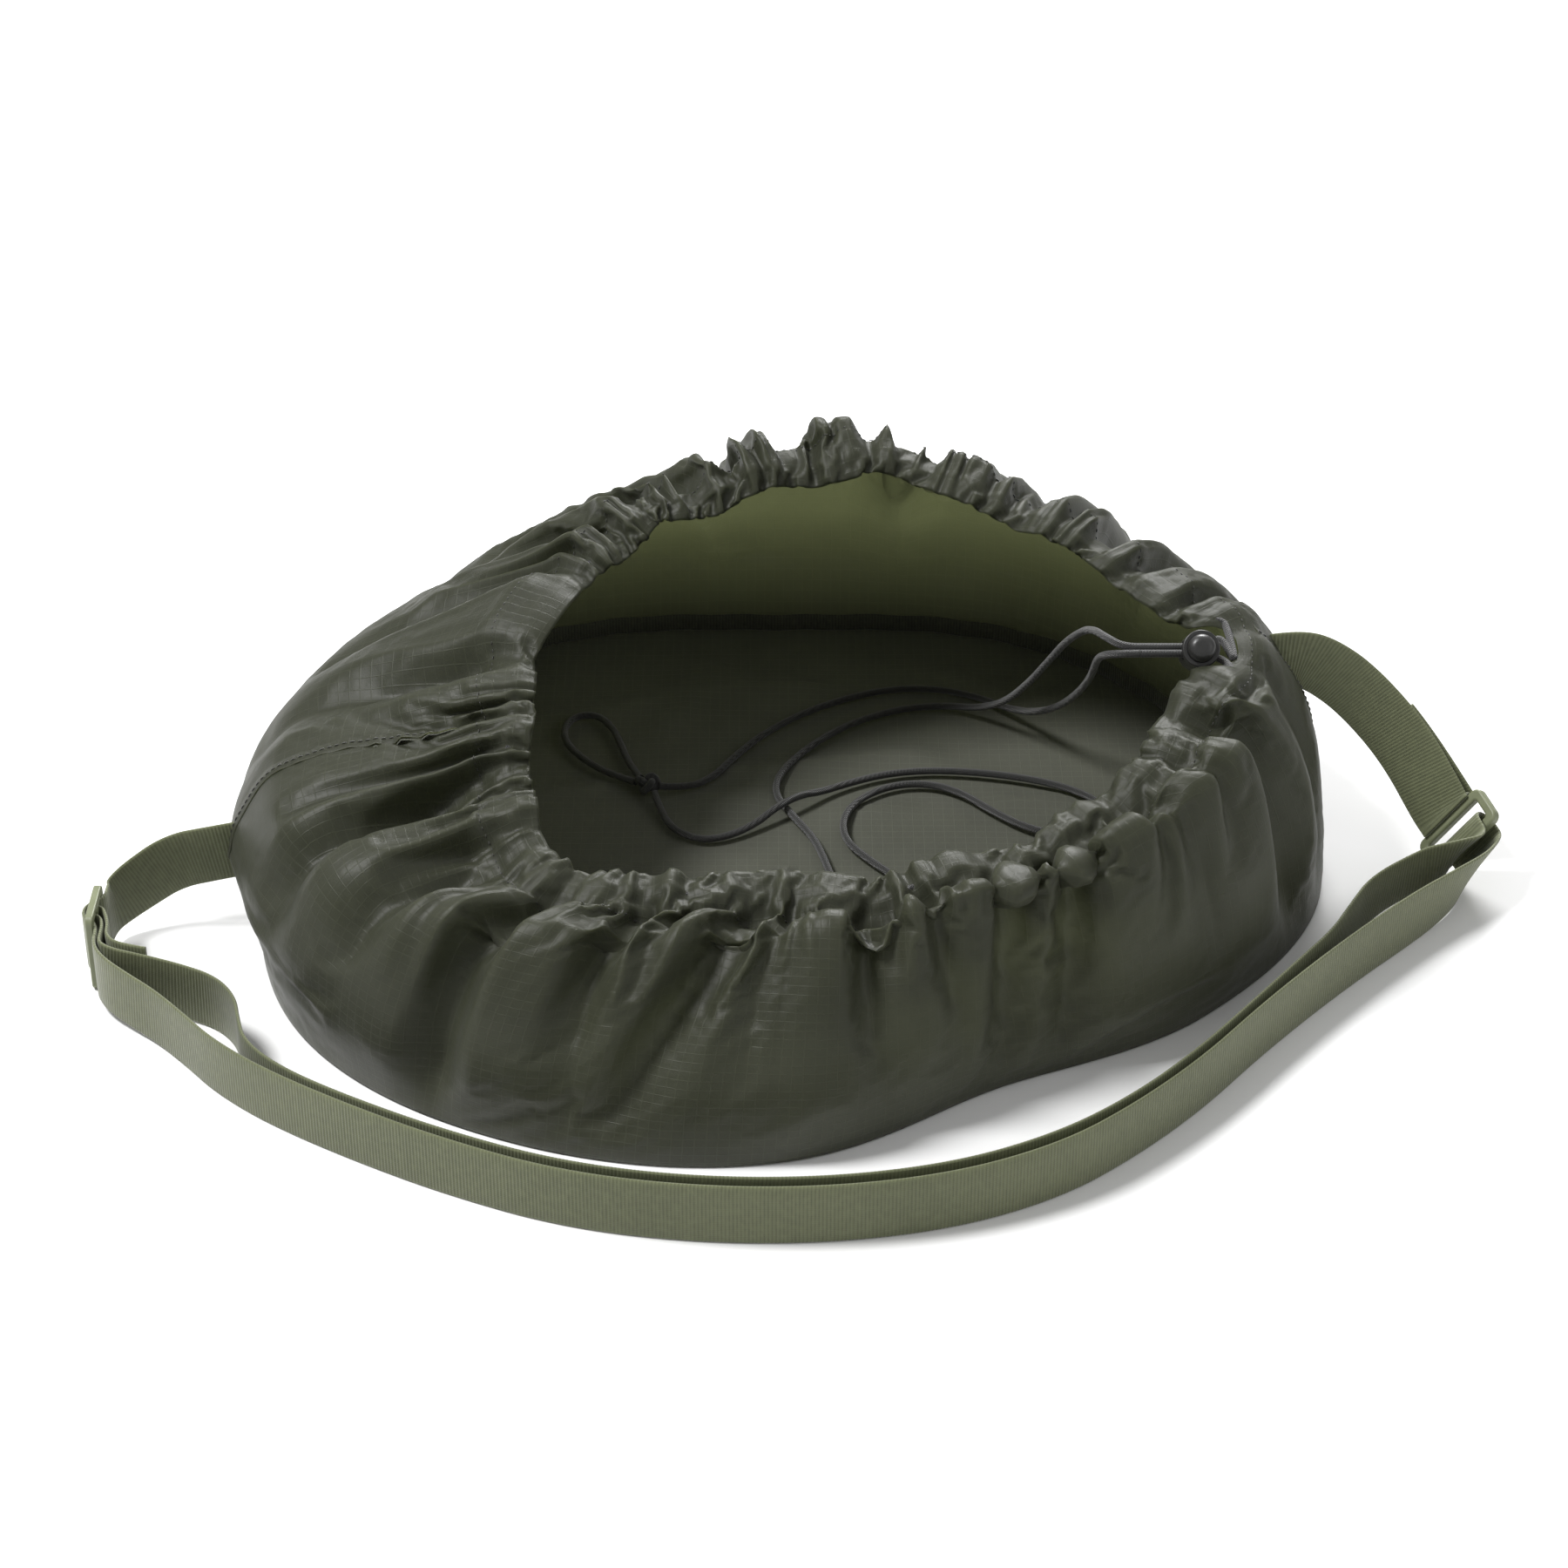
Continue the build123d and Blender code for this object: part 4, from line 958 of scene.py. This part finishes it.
def strip(name, line, normal, width, thickness, away):
    """A flat tape along a line, width measured across the line in its own plane."""
    way = np.gradient(line, axis=0)
    way /= np.linalg.norm(way, axis=1)[:, None]
    side = np.cross(way, normal)
    side /= np.linalg.norm(side, axis=1)[:, None]
    rings = []
    for across, up in ((-1, 0), (-0.9, 1), (0, 1.15), (0.9, 1), (1, 0), (0.9, -0.6), (0, -0.6), (-0.9, -0.6)):
        rings.append(line + side * across * width / 2 + normal * (away + up * thickness / 2))
    rings = np.stack(rings, axis=1)
    along = np.concatenate([[0], np.cumsum(np.linalg.norm(np.diff(line, axis=0), axis=1))])
    across = np.array([-1, -0.9, 0, 0.9, 1, 0.9, 0, -0.9, -1]) * width / 2 + 100
    return solid_from_rings(name, rings, (across, along))


def resample(line, extra, step):
    along = np.concatenate([[0], np.cumsum(np.linalg.norm(np.diff(line, axis=0), axis=1))])
    at = np.arange(0, along[-1], step)
    a = np.stack([np.interp(at, along, line[:, k]) for k in range(3)], axis=1)
    b = np.stack([np.interp(at, along, extra[:, k]) for k in range(3)], axis=1)
    return a, b / np.linalg.norm(b, axis=1)[:, None]


SEAM_TURNS = {"left": 187.7, "right": 8.8}


def make_seams():
    face = normals(grid)
    stitches = []
    for side, angle in SEAM_TURNS.items():
        around = np.degrees(np.arctan2(grid[0, :, 1], grid[0, :, 0]))
        column = int(np.argmin(np.abs((around - angle + 180) % 360 - 180)))
        top = WALL_ROWS - 1
        line, normal = resample(grid[1:top, column], face[1:top, column], 1.5)
        tape = strip(f"seam_tape_{side}", line, normal, 7.0, 0.5, 0.12)
        finish_piece(tape, "bag", SHELL, [f"side_seam_{side}"])
        inside = strip(f"seam_tape_{side}_inside", line, normal, 9.0, 0.7, -0.95)
        finish_piece(inside, "bag", TAPE)
        spots, ups = resample(line, normal, 3.1)
        way = np.gradient(spots, axis=0)
        for p, w, n in zip(spots, way, ups):
            stitches.append((p + n * 0.62, w, n))
    seam = capsules("side_seam_stitches", stitches, 2.3, 0.32)
    finish_piece(seam, "bag", THREAD)
    row = WALL_ROWS
    line = np.vstack([grid[row], grid[row][:1]])
    up = np.vstack([face[row], face[row][:1]])
    spots, ups = resample(line, up, 3.0)
    way = np.gradient(spots, axis=0)
    hem = capsules("hem_stitches", [(p + n * 0.05, w, n) for p, w, n in zip(spots, way, ups)], 1.7, 0.22)
    finish_piece(hem, "bag", THREAD)
    ring = np.column_stack([base_ring(400, 4.5), np.full(400, 1.6)])
    ring = np.vstack([ring, ring[:1]])
    outwards = np.column_stack([ring[:, :2], np.zeros(len(ring))])
    outwards /= np.linalg.norm(outwards, axis=1)[:, None]
    ring[:, 2] += 4.0
    ring[:, :2] += outwards[:, :2] * (0.5 * np.sin(np.arange(len(ring)) * 0.7))[:, None]
    binding = strip("base_binding", ring, outwards, 8.0, 0.9, 0.0)
    finish_piece(binding, "bag", TAPE, ["base_seam_binding"])


make_seams()


HEM_OPENING = 11  # the hem is open this far either side of the lock
# Each strand from the hem through the lock, and back from the lock to the hem.
UPPER_STRAND = [(168, 7.5, 108), (163, 2.6, 106.6)] + [(x, 1.69, 106.45) for x in (158, 147, 136)]
LOWER_STRAND = [(x, -1.69, 105.55) for x in (136, 147, 158)] + [(163.5, -3.2, 105.4), (168.5, -6.5, 105)]


def make_drawcord():
    """The drawcord inside the hem, its two strands leaving the gap and running through the lock."""
    away = np.hypot(cord_line[:, 0] - cord_line[0, 0], cord_line[:, 1] - 2.0)
    ring = cord_line[away > HEM_OPENING]
    route = UPPER_STRAND[::-1] + ring.tolist() + LOWER_STRAND[::-1]
    return cord_curve("drawcord_in_hem", route, CORD_D)


finish_piece(make_drawcord(), "bag", CORD, ["drawcord"])

# ------------------------------------------------------------------ shoulder strap
UP = (0, 0, 1)
LAYER_MID, WEAVE_MID = 12.7, 16.5
PIVOT_LEFT = np.array((-220.0, -29.746, 32.5))
PIVOT_RIGHT = np.array((200.0, 30.86, 84.5))
PIVOT_AXIS = (PIVOT_RIGHT - PIVOT_LEFT) / np.linalg.norm(PIVOT_RIGHT - PIVOT_LEFT)
RING_AT = np.array((268.0, 6.0, 18.6))
RING_BAR = np.array((0.6, 0.0, 0.8))
RING_PULL = np.array((0.358, -0.895, -0.268))
RING_OUT = np.cross(RING_BAR, RING_PULL)
RING_OUT /= np.linalg.norm(RING_OUT)
BAR_AT, LEG = 6.5, 5.0
STRAP_FOLD, TAB_FOLD = 5.4, 3.4


def at_ring(pull, side):
    return RING_AT + RING_PULL * pull + RING_OUT * side


def fold(facing, radius):
    """Webbing stations round one of the ring's bars, from its outer leg to its inner one."""
    stations = [(*at_ring(facing * (BAR_AT + LEG), radius), *RING_BAR)]
    for degrees in (0, 36, 72, 108, 144, 180):
        a = math.radians(degrees)
        reach = radius * 1.06
        pull = facing * (BAR_AT - reach * math.sin(a))
        stations.append((*at_ring(pull, radius * math.cos(a)), *RING_BAR))
    stations.append((*at_ring(facing * (BAR_AT + LEG), -radius), *RING_BAR))
    return stations


def on_edge(points, heights):
    """Stations of webbing standing on its edge, its middle at heights."""
    return [(x, y, z, *UP) for (x, y), z in zip(points, heights)]


OUTER_ROUTE = [
    (-259.5, -80), (-259.2, -85), (-254, -93), (-244.5, -101), (-233, -110), (-221, -123),
    (-208, -139), (-187, -157), (-156, -177), (-120, -197), (-78, -215), (-32, -223.5),
    (15, -224), (60, -216), (98, -199), (126, -176), (152, -149), (176, -118), (199, -91),
    (222, -66), (243, -45),
]
INNER_ROUTE = [
    (-257.6, -80), (-257.2, -83.5), (-252, -87), (-240, -89.5), (-226, -93.5), (-212, -100),
    (-203, -112), (-200, -126), (-196, -140), (-181, -156), (-155, -173), (-120, -192),
    (-80, -209), (-36, -218), (12, -219), (58, -211), (95, -194.5), (124, -172.5), (150, -145),
    (173, -115.5), (194, -88), (208, -70), (217, -53),
]
WEAVE_ROUTE = [
    (-259.5, -46), (-259.5, -54.8), (-266.0, -59.4), (-266.0, -66.6), (-259.5, -71.2), (-259.5, -80),
]
SEWN_ROUTE = [
    (-257.6, -71.5), (-259.7, -65.9), (-264.4, -65.9), (-264.4, -60.1), (-259.6, -60.1),
    (-257.2, -65.5), (-255.7, -71.5), (-255.5, -78.5), (-250, -84.6), (-239, -87.3),
]
SINK = [WEAVE_MID, WEAVE_MID, 15.8, 14.6, 13.4]


def make_strap():
    left_out = PIVOT_LEFT + PIVOT_AXIS * 13.0
    stations = [
        (*left_out, *UP), (*PIVOT_LEFT, *UP), (-236, -30, 29, *UP), (-250, -35.5, 21.5, *UP),
        (-257.5, -41, 17.5, *UP),
    ]
    stations += on_edge(WEAVE_ROUTE, [WEAVE_MID] * len(WEAVE_ROUTE))
    left, length = webbing("strap_left", stations)
    stands_for = ["strap_anchor_left", "strap_left_run", "strap_slider_weave"]
    finish_piece(left, None, WEBBING, stands_for)
    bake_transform(left)
    low = [LAYER_MID]
    outer = on_edge(OUTER_ROUTE, SINK + low * (len(OUTER_ROUTE) - len(SINK)))
    outer += [(260, -29, 13.2, 0.2, 0, 1), (271, -16, 14, 0.45, 0, 0.9)]
    inner = on_edge(INNER_ROUTE, SINK + low * (len(INNER_ROUTE) - len(SINK)))
    inner += [(226, -35, 13.2, 0.1, 0, 1), (243, -20.5, 15, 0.35, 0, 1), (260.2, -14, 17.6, 0.5, 0, 0.87)]
    sewn = on_edge(SEWN_ROUTE, [WEAVE_MID] * len(SEWN_ROUTE))
    stations = outer + fold(1, STRAP_FOLD) + inner[::-1] + sewn
    run, _ = webbing("strap_run", stations, length)
    finish_piece(
        run, "strap", WEBBING,
        [
            "strap_outer_layer",
            "strap_outer_turn",
            "strap_ring_fold",
            "strap_inner_turn",
            "strap_inner_layer",
            "strap_sewn_end",
        ],
    )
    right_in = PIVOT_RIGHT - PIVOT_AXIS * 14.0
    tab = [(*right_in, *UP), (*PIVOT_RIGHT, *UP)]
    tab += [(212, 32.6, 80, 0.15, 0, 1), (228, 33, 67, 0.3, 0, 1), (247, 28, 46, 0.5, 0, 0.87)]
    back = fold(-1, -TAB_FOLD)
    last = np.array((247, 28, 46.0)) + TAB_BACK * 1.75
    before = np.array((239.5, 31, 54.5)) + TAB_BACK * 1.75
    stations = tab + back + [(*last, 0.5, 0, 0.87), (*before, 0.4, 0, 0.9)]
    piece, _ = webbing("strap_tab", stations)
    stands_for = ["strap_anchor_right", "ring_tab", "tab_ring_fold", "ring_tab_return"]
    finish_piece(piece, None, WEBBING, stands_for)
    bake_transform(piece)


TAB_WAY = np.array((0.5, -0.35, -0.79))
TAB_WIDE = np.array((0.5, 0.0, 0.87))
TAB_BACK = np.cross(TAB_WIDE, TAB_WAY)
TAB_BACK /= np.linalg.norm(TAB_BACK)
make_strap()


def make_tab_stitches():
    """Two bar tacks of close stitches across the folded-back end of the tab."""
    way = TAB_WAY / np.linalg.norm(TAB_WAY)
    wide = TAB_WIDE - way * TAB_WIDE.dot(way)
    wide /= np.linalg.norm(wide)
    face = np.cross(wide, way)
    middle = np.array((247, 28, 46.0)) + face * 2.6
    places = []
    for row in (-3.5, -2.2, 5.5, 6.8):
        for k in range(12):
            spot = middle + way * row + wide * (k - 5.5) * 1.9
            places.append((spot, wide + way * 0.35 * (-1) ** k, face))
    return capsules("strap_tab_stitches", places, 1.9, 0.3)


finish_piece(make_tab_stitches(), "strap", BAR_THREAD, ["ring_tab_stitches"])

# ------------------------------------------------------------------ hardware kept from the CAD
for node, material in (
    ("strap_ring", OLIVE_PLASTIC), ("strap_slider", OLIVE_PLASTIC), ("cord_lock_barrel", BLACK_PLASTIC),
    ("cord_lock_plunger", BLACK_PLASTIC), ("cord_lock_spring", STEEL),
):
    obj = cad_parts[node]
    obj.data.materials.clear()
    obj.data.materials.append(material)
    for poly in obj.data.polygons:
        poly.material_index = 0

bpy.context.view_layer.update()
